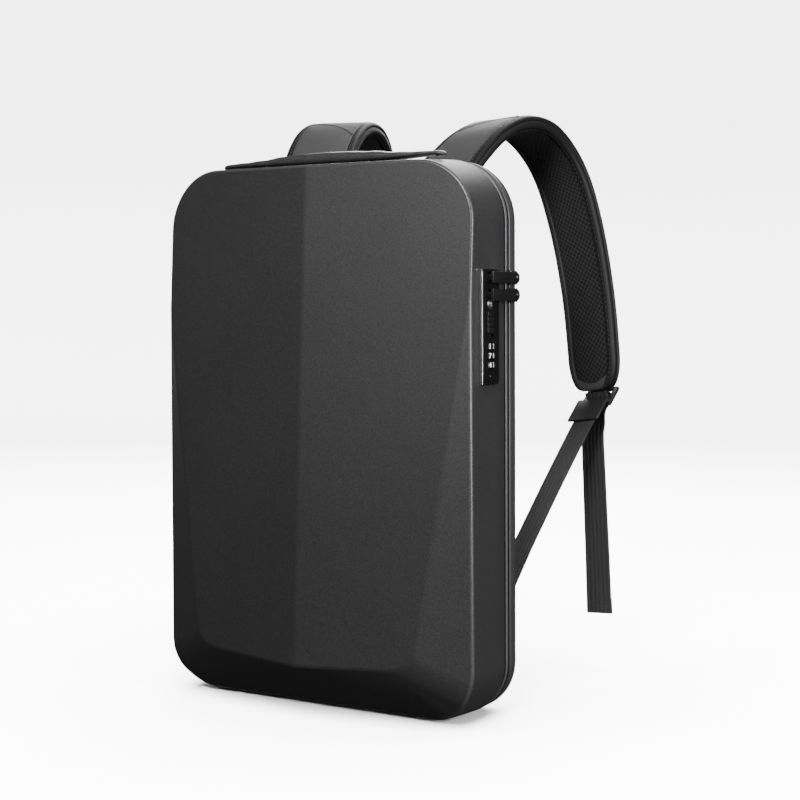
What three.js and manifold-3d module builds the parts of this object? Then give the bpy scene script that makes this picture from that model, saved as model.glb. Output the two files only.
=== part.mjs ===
// Hard-shell laptop backpack, standing upright. Millimetres, +Z up, the front faces -Y.
// Depths (y) are measured back from the front rim of the case, and the whole model is then moved forward
// by originBehindRim, so that the origin lies in the middle of the flat base.
import * as THREE from 'three';
import * as BufferGeometryUtils from 'three/addons/utils/BufferGeometryUtils.js';
import Module from 'manifold-3d';

const wasm = await Module();
wasm.setup();

// Fit between neighbouring pieces
const clearance = 0.3;

// Case outline, seen from the front
const caseHeight = 440;
const caseWidth = 296;
const topNarrowing = 6;
const topCorner = 49;
const footCorner = 43;
const cornerSteps = 8;

// Case depth, from the rim to the back
const frontDepth = 44;
const rimDraft = 3;
const shellWall = 4;
const rearWall = 2.5;
const zipBand = 11;
const rearDepth = 13;
const rearRound = 5;
const originBehindRim = 26;

// Facets of the moulded front
const ridgeTop = 14;
const ridgeFoot = 33;
const foldHeight = 40;
const foldCornerX = 102;
const foldCornerDepth = 23;
const foldCornerHeight = 45.6;
const sideFoldTop = 350;
const sideEdgeLift = 2;
const footSetback = 9;
const footLineHalf = 130;

// Zip between the two shells
const tapeInset = 2;
const tapeThickness = 1.6;
const weltWidth = 3.4;
const weltThickness = 1.2;
const weltFromShell = 4.4;

// Padded back and the yoke that holds the straps
const backPadThickness = 10;
const backPadInset = 7;
const backPadCrown = 6;
const yokeInset = 36;
const yokeHeight = 34;
const yokeBelowTop = 36;

// Shoulder straps
const strapWidth = 66;
const strapFootWidth = 55;
const rightStrapDrop = 6;
const strapPadThickness = 10.7;
const strapFaceThickness = 2;
const strapEndRadius = 30;
const strapSteps = 44;
const strapEndInset = 13.5;
const strapReach = 175;

// Webbing and buckle
const webWidth = 25;
const webThickness = 1.6;
const buckleWidth = 35;
const buckleThickness = 3.6;
const barHeight = 3;
const buckleWindow = 6;
const buckleTilt = 44;
const buckleBelowPad = 6;
const buckleBehindPad = 4;
const thumbTabLength = 25;
const thumbTabThickness = 2.4;
const webAnchorHeight = 62;
const webAnchorInset = 36;
const webAnchorSize = 34;

// Carrying handle
const handleHalfLength = 105;
const handleDepth = 24;
const handleWidth = 24;
const handleThickness = 10.6;
const handleTipThickness = 1.8;
const rivetRadius = 3.2;
const rivetHeight = 1.5;

// Combination lock on the right wall
const lockHeight = 88;
const lockWidth = 26;
const lockCentreZ = 309;
const lockCentreDepth = 19;
const lockPlateThickness = 2.2;
const lockCornerRadius = 3;
const lockCoreDepth = 10;
const lockCoreMargin = 2;
const trimWidth = 2.4;
const trimProud = 0.6;
const dialRadius = 7.2;
const dialWidth = 5.6;
const dialPitch = 7.1;
const dialCount = 3;
const dialProud = 1;
const dialBore = 1.8;
const dialEdge = 0.5;
const dialEdgeHeight = 0.6;
const dialsBelowRelease = 25.5;
const dialsDepth = 1.5;
const keyRadius = 2.9;
const keyBelowPull = 7;
const keyLength = 7;
const keyProud = 0.5;
const keySlotWidth = 0.9;
const keySlotDepth = 1.5;
const releaseHeight = 17;
const releaseWidth = 9;
const releaseBelowKey = 14;
const releaseTravel = 2.5;
const releaseProud = 0.9;
const releaseCorner = 1;
const releaseGroove = 1;
const releaseGroovePitch = 4;

// Zip pulls and sliders
const pullHeight = 9;
const pullThickness = 2.2;
const pullTongueHeight = 4.4;
const pullTongueLength = 4;
const pullFront = -2;
const sliderHeight = 11;
const sliderDepth = 10;
const sliderThickness = 3.2;
const sliderAboveWall = 0.9;
const sliderStemShare = 0.7;
const pinHead = 1.2;
const pinRadius = 1.6;
const firstPullFromTop = 6;
const pullPitch = 13.5;

// Middle line of a shoulder strap from the yoke to the padded end, as shares: x of strapSpread, y of
// strapReach behind the yoke, z of the yoke's height. The width turns in plan, outer edge forward, in
// degrees. drop is the share of rightStrapDrop by which the right strap lies lower than the left one.
const strapRows = [
  { x: 0.4461, y: 0, z: 1.0025, turn: 0, drop: 0 },
  { x: 0.4461, y: 0.0057, z: 1.0347, turn: -1, drop: 0 },
  { x: 0.4758, y: 0.0686, z: 1.0743, turn: -9, drop: 0 },
  { x: 0.5204, y: 0.1714, z: 1.1262, turn: -14, drop: 0.5 },
  { x: 0.5651, y: 0.3086, z: 1.1757, turn: -16, drop: 0.9 },
  { x: 0.6171, y: 0.4914, z: 1.2054, turn: -16, drop: 1 },
  { x: 0.6691, y: 0.68, z: 1.2005, turn: -16, drop: 1 },
  { x: 0.7138, y: 0.8229, z: 1.1634, turn: -16, drop: 0.9 },
  { x: 0.7658, y: 0.92, z: 1.1015, turn: -16, drop: 0.6 },
  { x: 0.8401, y: 0.9714, z: 0.995, turn: -16, drop: 0.3 },
  { x: 0.9219, y: 1, z: 0.8292, turn: -17, drop: 0 },
  { x: 1, y: 0.9771, z: 0.6163, turn: -18, drop: 0 },
];

// The webbing below the buckle, from the case up to the buckle, and the free end that hangs from it,
// in the same shares
const lowerWebRows = [
  { x: 0.8327, y: 0, z: 0.1634, turn: 0 },
  { x: 0.8439, y: 0.0571, z: 0.198, turn: -12 },
  { x: 0.8773, y: 0.28, z: 0.297, turn: -26 },
  { x: 0.9257, y: 0.5829, z: 0.4307, turn: -26 },
];
const tailRows = [
  { x: 0.9777, y: 0.9771, z: 0.5297, turn: -16 },
  { x: 0.9888, y: 0.9829, z: 0.4084, turn: -12 },
  { x: 1.0149, y: 0.9771, z: 0.2599, turn: -8 },
  { x: 1.0409, y: 0.9657, z: 0.1163, turn: -4 },
];

// Values that follow from the sizes above
const rearStart = frontDepth + zipBand;
const rearEnd = rearStart + rearDepth;
const backPadStart = rearEnd + clearance;
const backPadEnd = backPadStart + backPadThickness;
const strapThickness = strapPadThickness + clearance + strapFaceThickness;
const strapSeat = backPadEnd + 4 * clearance + strapThickness / 2;
const yokeTop = caseHeight - yokeBelowTop;
const yokeWidth = caseWidth - 2 * yokeInset;
const strapSpread = caseWidth / 2 - strapEndInset;
const webAnchorX = caseWidth / 2 - webAnchorInset;
const pullHeights = [0, 1].map((i) => lockHeight / 2 - firstPullFromTop - i * pullPitch);
const keyZ = pullHeights[1] - keyBelowPull;
const releaseZ = keyZ - releaseBelowKey;
const dialsZ = releaseZ - dialsBelowRelease;
const plateWidth = lockWidth - trimWidth - clearance;
const plateMiddle = (trimWidth + clearance) / 2;
const plateTop = clearance + lockPlateThickness;
const dialX = plateTop + dialProud - dialRadius;
const dialHeights = Array.from({ length: dialCount }, (_, i) => dialsZ + (1 - i) * dialPitch);

// Materials
const shellGrey = new THREE.MeshStandardMaterial({ color: 0x3a3b3d, roughness: 0.55, metalness: 0.1 });
const rearGrey = new THREE.MeshStandardMaterial({ color: 0x343537, roughness: 0.55, metalness: 0.1 });
const tapeBlack = new THREE.MeshStandardMaterial({ color: 0x151516, roughness: 0.85, metalness: 0 });
const weltGrey = new THREE.MeshStandardMaterial({ color: 0x4a4b4d, roughness: 0.5, metalness: 0 });
const fabricBlack = new THREE.MeshStandardMaterial({ color: 0x1b1c1e, roughness: 0.9, metalness: 0 });
const strapGrey = new THREE.MeshStandardMaterial({ color: 0x55565a, roughness: 0.6, metalness: 0 });
const leatherGrey = new THREE.MeshStandardMaterial({ color: 0x3c3d40, roughness: 0.5, metalness: 0 });
const webGrey = new THREE.MeshStandardMaterial({ color: 0x2c2d2f, roughness: 0.85, metalness: 0 });
const plasticBlack = new THREE.MeshStandardMaterial({ color: 0x101113, roughness: 0.4, metalness: 0 });
const metalBlack = new THREE.MeshStandardMaterial({ color: 0x18191b, roughness: 0.35, metalness: 0.8 });
const metalSilver = new THREE.MeshStandardMaterial({ color: 0xb8bbc0, roughness: 0.25, metalness: 1 });
const dialBlack = new THREE.MeshStandardMaterial({ color: 0x1a1a1c, roughness: 0.45, metalness: 0 });

const pack = new THREE.Group();
pack.position.y = -originBehindRim;

function addMesh(parent, name, geometry, material) {
  const mesh = new THREE.Mesh(geometry, material);
  mesh.name = name;
  parent.add(mesh);
  return mesh;
}

// A solid for joining and cutting, from a closed geometry
function toSolid(geometry) {
  const bare = geometry.clone();
  for (const key of Object.keys(bare.attributes)) {
    if (key !== 'position') bare.deleteAttribute(key);
  }
  const merged = BufferGeometryUtils.mergeVertices(bare, 1e-4);
  const vertProperties = Float32Array.from(merged.attributes.position.array);
  const triVerts = Uint32Array.from(merged.index.array);
  return new wasm.Manifold(new wasm.Mesh({ numProp: 3, vertProperties, triVerts }));
}

function toGeometry(solid) {
  const { vertProperties, triVerts } = solid.getMesh();
  const geometry = new THREE.BufferGeometry();
  geometry.setAttribute('position', new THREE.BufferAttribute(vertProperties, 3));
  geometry.setIndex(new THREE.BufferAttribute(triVerts, 1));
  return geometry;
}

// A closed body through loops of equally many points, with flat convex ends
function loft(loops) {
  const count = loops[0].length;
  const points = loops.flat();
  const index = [];
  for (let ring = 0; ring + 1 < loops.length; ring += 1) {
    for (let i = 0; i < count; i += 1) {
      const a = ring * count + i;
      const b = ring * count + ((i + 1) % count);
      index.push(a, b, b + count, a, b + count, a + count);
    }
  }
  const last = (loops.length - 1) * count;
  for (let i = 1; i + 1 < count; i += 1) {
    index.push(0, i + 1, i);
    index.push(last, last + i, last + i + 1);
  }
  return facingOut(new THREE.BufferGeometry().setFromPoints(points).setIndex(index));
}

// The same geometry with its faces pointing out
function facingOut(geometry) {
  const position = geometry.attributes.position;
  const index = geometry.index.array;
  const corner = [0, 1, 2].map(() => new THREE.Vector3());
  let volume = 0;
  for (let i = 0; i < index.length; i += 3) {
    corner.forEach((point, k) => point.fromBufferAttribute(position, index[i + k]));
    volume += corner[0].dot(corner[1].clone().cross(corner[2]));
  }
  if (volume < 0) geometry.setIndex(Array.from(index).reverse());
  return geometry;
}

function box(width, depth, height, x = 0, y = 0, z = 0) {
  return new THREE.BoxGeometry(width, depth, height).translate(x, y, z);
}

// A flat shape drawn in (y, z) and given a thickness along +x, starting at fromX
function slab(shape, thickness, fromX) {
  const options = { depth: thickness, bevelEnabled: false, curveSegments: 6 };
  const geometry = new THREE.ExtrudeGeometry(shape, options);
  const axes = [new THREE.Vector3(0, 1, 0), new THREE.Vector3(0, 0, 1), new THREE.Vector3(1, 0, 0)];
  return geometry.applyMatrix4(new THREE.Matrix4().makeBasis(...axes)).translate(fromX, 0, 0);
}

function roundedShape(width, height, radius) {
  const shape = new THREE.Shape();
  const x = width / 2 - radius;
  const y = height / 2 - radius;
  shape.absarc(x, y, radius, 0, Math.PI / 2);
  shape.absarc(-x, y, radius, Math.PI / 2, Math.PI);
  shape.absarc(-x, -y, radius, Math.PI, 1.5 * Math.PI);
  shape.absarc(x, -y, radius, 1.5 * Math.PI, 2 * Math.PI);
  return shape;
}

// How far the moulded walls lie inside the zip line at a depth: they open out towards the zip
function draftAt(y) {
  return y < frontDepth ? rimDraft * (1 - y / frontDepth) : 0;
}

function narrowing(z) {
  return 1 - (topNarrowing / caseWidth) * (z / caseHeight);
}

// Half the width of the case at a depth and a height
function halfWidthAt(y, z) {
  return (caseWidth / 2 - draftAt(y)) * narrowing(z);
}

// Rounded outline of the case at a depth. inset is measured from the walls, footInset from the base.
function caseOutline(y, inset, footInset = inset) {
  const half = caseWidth / 2 - inset;
  const top = caseHeight - inset;
  const corners = [
    { x: 1, z: 1, radius: topCorner - inset, from: 0 },
    { x: -1, z: 1, radius: topCorner - inset, from: 1 },
    { x: -1, z: -1, radius: footCorner - inset, from: 2 },
    { x: 1, z: -1, radius: footCorner - inset, from: 3 },
  ];
  const loop = [];
  for (const corner of corners) {
    const centreX = corner.x * (half - corner.radius);
    const centreZ = corner.z > 0 ? top - corner.radius : footInset + corner.radius;
    for (let step = 0; step <= cornerSteps; step += 1) {
      const angle = ((corner.from + step / cornerSteps) * Math.PI) / 2;
      const x = centreX + corner.radius * Math.cos(angle);
      const z = centreZ + corner.radius * Math.sin(angle);
      loop.push(new THREE.Vector3(x * narrowing(z), y, z));
    }
  }
  return loop;
}

// Depth of the two main front panels, which meet in the centre ridge
function panelDepth(x, z) {
  const rise = (ridgeFoot - ridgeTop) / (caseHeight - foldHeight);
  const ridge = (height) => -ridgeFoot + rise * (height - foldHeight);
  const fall = (-foldCornerDepth - ridge(foldCornerHeight)) / foldCornerX;
  return ridge(z) + fall * Math.abs(x);
}

// Everything in front of the plane through three points, moved back by inset
function frontOfPlane(points, inset) {
  const plane = new THREE.Plane().setFromCoplanarPoints(...points);
  if (plane.normal.y > 0) plane.negate();
  const size = 4 * caseHeight;
  const turn = new THREE.Quaternion().setFromUnitVectors(new THREE.Vector3(0, 0, 1), plane.normal);
  const centre = points[0].clone().addScaledVector(plane.normal, size / 2 - inset);
  return toSolid(new THREE.BoxGeometry(size, size, size).applyQuaternion(turn).translate(...centre));
}

// The faceted front body, inset from its outer face
function frontBody(inset, endDepth) {
  const startDepth = -ridgeFoot - shellWall;
  const loops = [startDepth, endDepth].map((y) => {
    return caseOutline(y, rimDraft * (1 - y / frontDepth) + inset, inset);
  });
  let body = toSolid(loft(loops));
  for (const side of [1, -1]) {
    const at = (x, y, z) => new THREE.Vector3(side * x, y, z);
    const ridge = [at(0, panelDepth(0, caseHeight), caseHeight), at(0, -ridgeFoot, foldHeight)];
    const foldCorner = at(foldCornerX, -foldCornerDepth, foldCornerHeight);
    const half = caseWidth / 2;
    const sideTop = at(half, panelDepth(half, sideFoldTop), sideFoldTop);
    const sideFoot = at(half, -sideEdgeLift, foldCornerHeight);
    const foot = [at(0, footSetback, 0), at(footLineHalf, footSetback, 0)];
    const facets = [[...ridge, foldCorner], [sideTop, foldCorner, sideFoot]];
    facets.push([ridge[1], ...foot], [ridge[1], foldCorner, foot[1]]);
    for (const facet of facets) {
      body = body.subtract(frontOfPlane(facet, inset));
    }
  }
  return body;
}

// Hard front shell, open at the back, with the cut-out for the lock in its right wall
function makeFrontShell(lockFrame) {
  const margin = lockCoreMargin - clearance;
  const cutout = box(4 * lockCoreDepth, plateWidth - 2 * margin, lockHeight - 2 * margin, 0, plateMiddle, 0);
  cutout.applyMatrix4(lockFrame);
  const hollow = frontBody(shellWall, frontDepth + shellWall);
  const shell = frontBody(0, frontDepth).subtract(hollow).subtract(toSolid(cutout));
  addMesh(pack, 'front_shell', toGeometry(shell), shellGrey);
}

// Shallow rear shell: a tray with a rounded rear edge, open towards the front
function makeRearShell() {
  const outer = [caseOutline(rearStart, 0)];
  const roundSteps = 4;
  for (let step = 0; step <= roundSteps; step += 1) {
    const angle = (step / roundSteps) * (Math.PI / 2);
    const inset = rearRound * (1 - Math.cos(angle));
    outer.push(caseOutline(rearEnd - rearRound * (1 - Math.sin(angle)), inset));
  }
  const floor = rearEnd - rearWall;
  const inner = [caseOutline(rearStart - rearWall, rearWall), caseOutline(floor - rearRound, rearWall)];
  inner.push(caseOutline(floor, rearWall + rearRound / 2));
  const shell = toSolid(loft(outer)).subtract(toSolid(loft(inner)));
  addMesh(pack, 'rear_shell', toGeometry(shell), rearGrey);
}

// A band that follows the case outline
function outlineBand(name, from, to, inset, thickness, material) {
  const outer = loft([caseOutline(from, inset), caseOutline(to, inset)]);
  const hole = inset + thickness;
  const inner = loft([caseOutline(from - thickness, hole), caseOutline(to + thickness, hole)]);
  addMesh(pack, name, toGeometry(toSolid(outer).subtract(toSolid(inner))), material);
}

function makeZip() {
  const from = frontDepth + clearance;
  outlineBand('zip_tape', from, rearStart - clearance, tapeInset, tapeThickness, tapeBlack);
  const weltFrom = frontDepth + weltFromShell;
  const weltInset = tapeInset - clearance - weltThickness;
  outlineBand('zip_welt', weltFrom, weltFrom + weltWidth, weltInset, weltThickness, weltGrey);
}

// Padded back of the pack, crowned towards its middle
function makeBackPanel() {
  const loops = [
    caseOutline(backPadStart, backPadInset),
    caseOutline(backPadEnd - backPadThickness / 3, backPadInset),
    caseOutline(backPadEnd, backPadInset + backPadCrown),
  ];
  addMesh(pack, 'back_panel', loft(loops), fabricBlack);
}

// The cross piece on the back panel that the two straps are sewn into
function makeYoke() {
  const depth = strapThickness;
  const shape = roundedShape(yokeWidth, yokeHeight, depth / 3);
  const geometry = new THREE.ExtrudeGeometry(shape, { depth, bevelEnabled: false, curveSegments: 4 });
  geometry.rotateX(Math.PI / 2).translate(0, backPadEnd + clearance + depth, yokeTop - yokeHeight / 2);
  addMesh(pack, 'strap_yoke', geometry, fabricBlack);
}

// Stations along a ribbon: middle point, width direction and outward direction.
// Each given row has a point and the direction of its width.
function ribbonStations(rows, steps) {
  const curve = new THREE.CatmullRomCurve3(rows.map((row) => row.point), false, 'centripetal');
  const stations = [];
  for (let step = 0; step <= steps; step += 1) {
    const share = step / steps;
    const place = share * (rows.length - 1);
    const before = Math.min(Math.floor(place), rows.length - 2);
    const width = rows[before].width.clone().lerp(rows[before + 1].width, place - before);
    const along = curve.getTangent(share);
    width.addScaledVector(along, -width.dot(along)).normalize();
    const out = new THREE.Vector3().crossVectors(width, along);
    stations.push({ point: curve.getPoint(share), width, out });
  }
  return stations;
}

// A flat strip along stations, from low to high along the outward direction
function ribbon(stations, widthAt, low, high, edge) {
  const loops = stations.map((station, index) => {
    const half = widthAt(index) / 2;
    const slope = Math.min(edge, half / 2);
    let corners = [[-half, high], [half, high], [half, low], [-half, low]];
    if (edge > 0) {
      const bottom = [[-half, low + edge], [-half + slope, low], [half - slope, low], [half, low + edge]];
      corners = [...bottom, [half, high], [-half, high]];
    }
    return corners.map(([across, out]) => {
      return station.point.clone().addScaledVector(station.width, across).addScaledVector(station.out, out);
    });
  });
  return loft(loops);
}

function rowsFromTable(table, side) {
  return table.map(({ x, y, z, turn, drop = 0 }) => {
    const angle = THREE.MathUtils.degToRad(turn);
    const lowered = side > 0 ? drop * rightStrapDrop : 0;
    return {
      point: new THREE.Vector3(side * x * strapSpread, strapSeat + y * strapReach, z * yokeTop - lowered),
      width: new THREE.Vector3(Math.cos(angle), side * Math.sin(angle), 0),
    };
  });
}

// The strap's stations, with its first row seated on top of the yoke
function strapStations(side) {
  const rows = rowsFromTable(strapRows, side);
  rows[0].point.z = yokeTop + 3 * clearance;
  return ribbonStations(rows, strapSteps);
}

// Padded underside and smooth outer face of one shoulder strap
function makeStrap(side, label) {
  const stations = strapStations(side);
  const end = stations.at(-1).point;
  const widthAt = (index) => {
    const left = stations[index].point.distanceTo(end);
    const share = Math.max(0, 1 - left / strapEndRadius);
    const shoulder = Math.sqrt(1 - share * share);
    const full = strapWidth + (strapFootWidth - strapWidth) * (index / strapSteps);
    const endWidth = webWidth + 4 * clearance;
    return endWidth + (full - endWidth) * shoulder;
  };
  const low = -strapThickness / 2;
  const padTop = low + strapPadThickness;
  const pad = ribbon(stations, widthAt, low, padTop, strapPadThickness / 3);
  addMesh(pack, `strap_pad_${label}`, pad, fabricBlack);
  const face = ribbon(stations, widthAt, padTop + clearance, -low, 0);
  addMesh(pack, `strap_face_${label}`, face, strapGrey);
}

// Frame of the buckle below the padded end, tilted towards the case: its origin is the middle bar,
// x runs along the webbing's width, y outwards and z up
function buckleFrame(side) {
  const end = strapStations(side).at(-1);
  const up = new THREE.Vector3().crossVectors(end.width, end.out);
  const centre = end.point.clone().addScaledVector(up, -buckleBelowPad);
  centre.addScaledVector(end.out, buckleBehindPad);
  const tilt = new THREE.Matrix4().makeRotationX(-THREE.MathUtils.degToRad(buckleTilt));
  return new THREE.Matrix4().makeBasis(end.width, end.out, up).setPosition(centre).multiply(tilt);
}

// Points of a webbing that turns round a bar of the buckle, between two angles in degrees:
// 180 is in front of the bar, 90 above it and 0 behind it
function routeAroundBar(barZ, fromAngle, toAngle) {
  const offset = 2 * clearance + webThickness / 2;
  const depth = buckleThickness / 2 + offset;
  const reach = barHeight / 2 + offset;
  const squared = (value) => Math.sign(value) * Math.sqrt(Math.abs(value));
  const route = [];
  const steps = 8;
  for (let step = 0; step <= steps; step += 1) {
    const angle = THREE.MathUtils.degToRad(fromAngle + ((toAngle - fromAngle) * step) / steps);
    const y = depth * squared(Math.cos(angle));
    route.push(new THREE.Vector3(0, y, barZ + reach * squared(Math.sin(angle))));
  }
  return route;
}

// Ladder-lock buckle: three bars in a frame, with a thumb tab in front of the webbing
function makeBuckle(side, label) {
  const frame = buckleFrame(side);
  const height = 3 * barHeight + 2 * buckleWindow;
  const rail = (buckleWidth - webWidth) / 2 - 2 * clearance;
  let body = toSolid(box(buckleWidth, buckleThickness, height));
  for (const end of [1, -1]) {
    const z = (end * (barHeight + buckleWindow)) / 2;
    body = body.subtract(toSolid(box(buckleWidth - 2 * rail, 2 * buckleThickness, buckleWindow, 0, 0, z)));
  }
  const tabTop = barHeight - height / 2;
  const front = -buckleThickness / 2 - webThickness - 3 * clearance;
  const tabY = front - thumbTabThickness / 2;
  const tab = box(buckleWidth, thumbTabThickness, thumbTabLength, 0, tabY, tabTop - thumbTabLength / 2);
  body = body.add(toSolid(tab));
  for (const end of [1, -1]) {
    const x = (end * (buckleWidth - rail)) / 2;
    const cheek = box(rail, -tabY, barHeight, x, tabY / 2, tabTop - barHeight / 2);
    body = body.add(toSolid(cheek));
  }
  addMesh(pack, `buckle_${label}`, toGeometry(body).applyMatrix4(frame), plasticBlack);
}

// Short doubled webbing from the padded end around the buckle's middle bar
function makeShortWeb(side, label) {
  const frame = buckleFrame(side);
  const end = strapStations(side).at(-1);
  const across = new THREE.Vector3().setFromMatrixColumn(frame, 0);
  const down = new THREE.Vector3().crossVectors(end.out, end.width);
  const leg = (out) => end.point.clone().addScaledVector(down, 4 * clearance).addScaledVector(end.out, out);
  const route = routeAroundBar(0, 90, -90).map((point) => point.applyMatrix4(frame));
  const rows = [leg(webThickness), ...route, leg(-webThickness)].map((point) => ({ point, width: across }));
  const strip = ribbon(ribbonStations(rows, 40), () => webWidth, -webThickness / 2, webThickness / 2, 0);
  addMesh(pack, `short_web_${label}`, strip, webGrey);
}

// Long webbing: from its patch on the back panel to the buckle, over its lowest bar, and down to the free end
function makeLowerWeb(side, label) {
  const frame = buckleFrame(side);
  const across = new THREE.Vector3().setFromMatrixColumn(frame, 0);
  const barZ = -barHeight - buckleWindow;
  const turn = routeAroundBar(barZ, 180, 0);
  const up = new THREE.Vector3(0, turn[0].y, tabFootZ() - webThickness);
  const down = new THREE.Vector3(0, -turn[0].y, barZ - 2 * barHeight);
  const overBar = [up, ...turn, down].map((point) => ({ point: point.applyMatrix4(frame), width: across }));
  const rows = [...rowsFromTable(lowerWebRows, side), ...overBar, ...rowsFromTable(tailRows, side)];
  rows[0].point.set(side * webAnchorX, backPadEnd + webThickness * 1.5 + 2 * clearance, webAnchorHeight);
  const strip = ribbon(ribbonStations(rows, 100), () => webWidth, -webThickness / 2, webThickness / 2, 0);
  addMesh(pack, `lower_web_${label}`, strip, webGrey);
}

// Lower edge of the thumb tab, in the buckle's frame
function tabFootZ() {
  return -barHeight / 2 - buckleWindow - thumbTabLength;
}

// Sewn patch that holds the long webbing on the back panel
function makeWebPatch(side, label) {
  const half = webAnchorSize / 2;
  const shape = new THREE.Shape();
  shape.moveTo(-half, -half / 2);
  shape.lineTo(half, -half / 2);
  shape.lineTo(half * 0.75, half / 2);
  shape.lineTo(-half * 0.75, half / 2);
  const geometry = new THREE.ExtrudeGeometry(shape, { depth: webThickness, bevelEnabled: false });
  geometry.rotateX(Math.PI / 2);
  geometry.translate(side * webAnchorX, backPadEnd + clearance + webThickness, webAnchorHeight);
  addMesh(pack, `web_patch_${label}`, geometry, webGrey);
}

// Height of the case's top face at a place on it
function topAt(x, y) {
  const beyond = Math.abs(x) - (halfWidthAt(y, caseHeight) - topCorner);
  const drop = beyond > 0 ? topCorner - Math.sqrt(topCorner ** 2 - beyond ** 2) : 0;
  return caseHeight - draftAt(y) - drop;
}

// Share of the handle's half length, share of its thickness above the tips' and share of its width
const handleRows = [
  { along: 1, thickness: 0, width: 0.3 },
  { along: 0.93, thickness: 0, width: 0.42 },
  { along: 0.72, thickness: 0.1, width: 0.6 },
  { along: 0.48, thickness: 0.4, width: 0.85 },
  { along: 0.38, thickness: 0.95, width: 1 },
  { along: 0.2, thickness: 1, width: 1 },
];

function handleLoop(side, { along, thickness, width }) {
  const x = side * along * handleHalfLength;
  const high = handleTipThickness + thickness * (handleThickness - handleTipThickness);
  const base = topAt(x, handleDepth - handleWidth / 2) + 2 * clearance;
  const points = 12;
  const loop = [];
  for (let i = 0; i < points; i += 1) {
    const angle = (i / points) * 2 * Math.PI;
    const y = handleDepth + (width * handleWidth * Math.cos(angle)) / 2;
    const z = base + (high / 2) * (1 + Math.sin(angle));
    loop.push(new THREE.Vector3(x, y, Math.max(z, topAt(x, y) + 2 * clearance)));
  }
  return loop;
}

// Slim carrying handle along the top, with a rivet on each end
function makeHandle() {
  const left = handleRows.map((row) => handleLoop(-1, row));
  const right = handleRows.map((row) => handleLoop(1, row)).reverse();
  addMesh(pack, 'top_handle', loft([...left, ...right]), leatherGrey);
  for (const [side, label] of [[1, 'right'], [-1, 'left']]) {
    const x = side * handleHalfLength * 0.955;
    const seat = topAt(x, handleDepth) + 3 * clearance + handleTipThickness;
    const profile = [
      [0, 0],
      [rivetRadius, 0],
      [rivetRadius, rivetHeight / 2],
      [rivetRadius / 2, rivetHeight],
      [0, rivetHeight],
    ];
    const cap = new THREE.LatheGeometry(profile.map(([r, h]) => new THREE.Vector2(r, h)), 14);
    cap.rotateX(Math.PI / 2);
    cap.translate(x, handleDepth, seat);
    addMesh(pack, `handle_rivet_${label}`, cap, metalBlack);
  }
}

// Frame of the lock on the right wall: x out of the wall, y back, z up
function makeLockFrame() {
  const at = (y, z) => new THREE.Vector3(halfWidthAt(y, z), y, z);
  const back = at(frontDepth, lockCentreZ).sub(at(0, lockCentreZ)).normalize();
  const up = at(lockCentreDepth, caseHeight / 2 + 1).sub(at(lockCentreDepth, caseHeight / 2)).normalize();
  const out = new THREE.Vector3().crossVectors(back, up).normalize();
  const level = new THREE.Vector3().crossVectors(up, out);
  return new THREE.Matrix4().makeBasis(out, level, up).setPosition(at(lockCentreDepth, lockCentreZ));
}

function lockGroup(frame) {
  const group = new THREE.Group();
  frame.decompose(group.position, group.quaternion, group.scale);
  pack.add(group);
  return group;
}

function axialCylinder(radius, length, axis, sides = 20) {
  const cylinder = new THREE.CylinderGeometry(radius, radius, length, sides);
  return axis === 'x' ? cylinder.rotateZ(Math.PI / 2) : cylinder.rotateX(Math.PI / 2);
}

// Lock body: the plate on the wall and the core behind it, with its pockets and the spindle of the dials
function makeLockBody(lock) {
  const plate = slab(roundedShape(plateWidth, lockHeight, lockCornerRadius), lockPlateThickness, clearance);
  plate.translate(0, plateMiddle, 0);
  const coreWidth = plateWidth - 2 * lockCoreMargin;
  const coreHeight = lockHeight - 2 * lockCoreMargin;
  const coreEnd = clearance + lockPlateThickness / 2;
  const core = box(lockCoreDepth + coreEnd, coreWidth, coreHeight);
  core.translate((coreEnd - lockCoreDepth) / 2, plateMiddle, 0);
  let body = toSolid(plate).add(toSolid(core));
  const spindles = [];
  for (const z of dialHeights) {
    const pocket = axialCylinder(dialRadius + clearance, dialWidth + 2 * clearance, 'z');
    body = body.subtract(toSolid(pocket.translate(dialX, dialsDepth, z)));
    const spindle = axialCylinder(dialBore - clearance, dialPitch, 'z', 12);
    spindles.push(toSolid(spindle.translate(dialX, dialsDepth, z)));
  }
  for (const spindle of spindles) body = body.add(spindle);
  const keyHole = axialCylinder(keyRadius + clearance, keyLength + 2 * keyProud, 'x');
  body = body.subtract(toSolid(keyHole.translate(plateTop + keyProud - keyLength / 2, 0, keyZ)));
  const recess = releaseWidth + 2 * clearance;
  const recessHeight = releaseHeight + releaseTravel + 2 * clearance;
  const recessDepth = 2 * (lockPlateThickness + clearance);
  const recessZ = releaseZ - releaseTravel / 2;
  body = body.subtract(toSolid(box(recessDepth, recess, recessHeight, plateTop, 0, recessZ)));
  for (const z of pullHeights) {
    const slot = box(
      2 * (pullTongueLength + plateTop),
      pullTongueLength + 2 * clearance,
      pullTongueHeight + 2 * clearance,
      plateTop,
      pullFront + pullTongueLength / 2,
      z,
    );
    body = body.subtract(toSolid(slot));
  }
  addMesh(lock, 'lock_body', toGeometry(body), plasticBlack);
}

function makeLockTrim(lock) {
  const shape = roundedShape(trimWidth, lockHeight, trimWidth / 3);
  const trim = slab(shape, lockPlateThickness + trimProud, clearance);
  trim.translate(0, (trimWidth - lockWidth) / 2, 0);
  addMesh(lock, 'lock_trim', trim, metalSilver);
}

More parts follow.
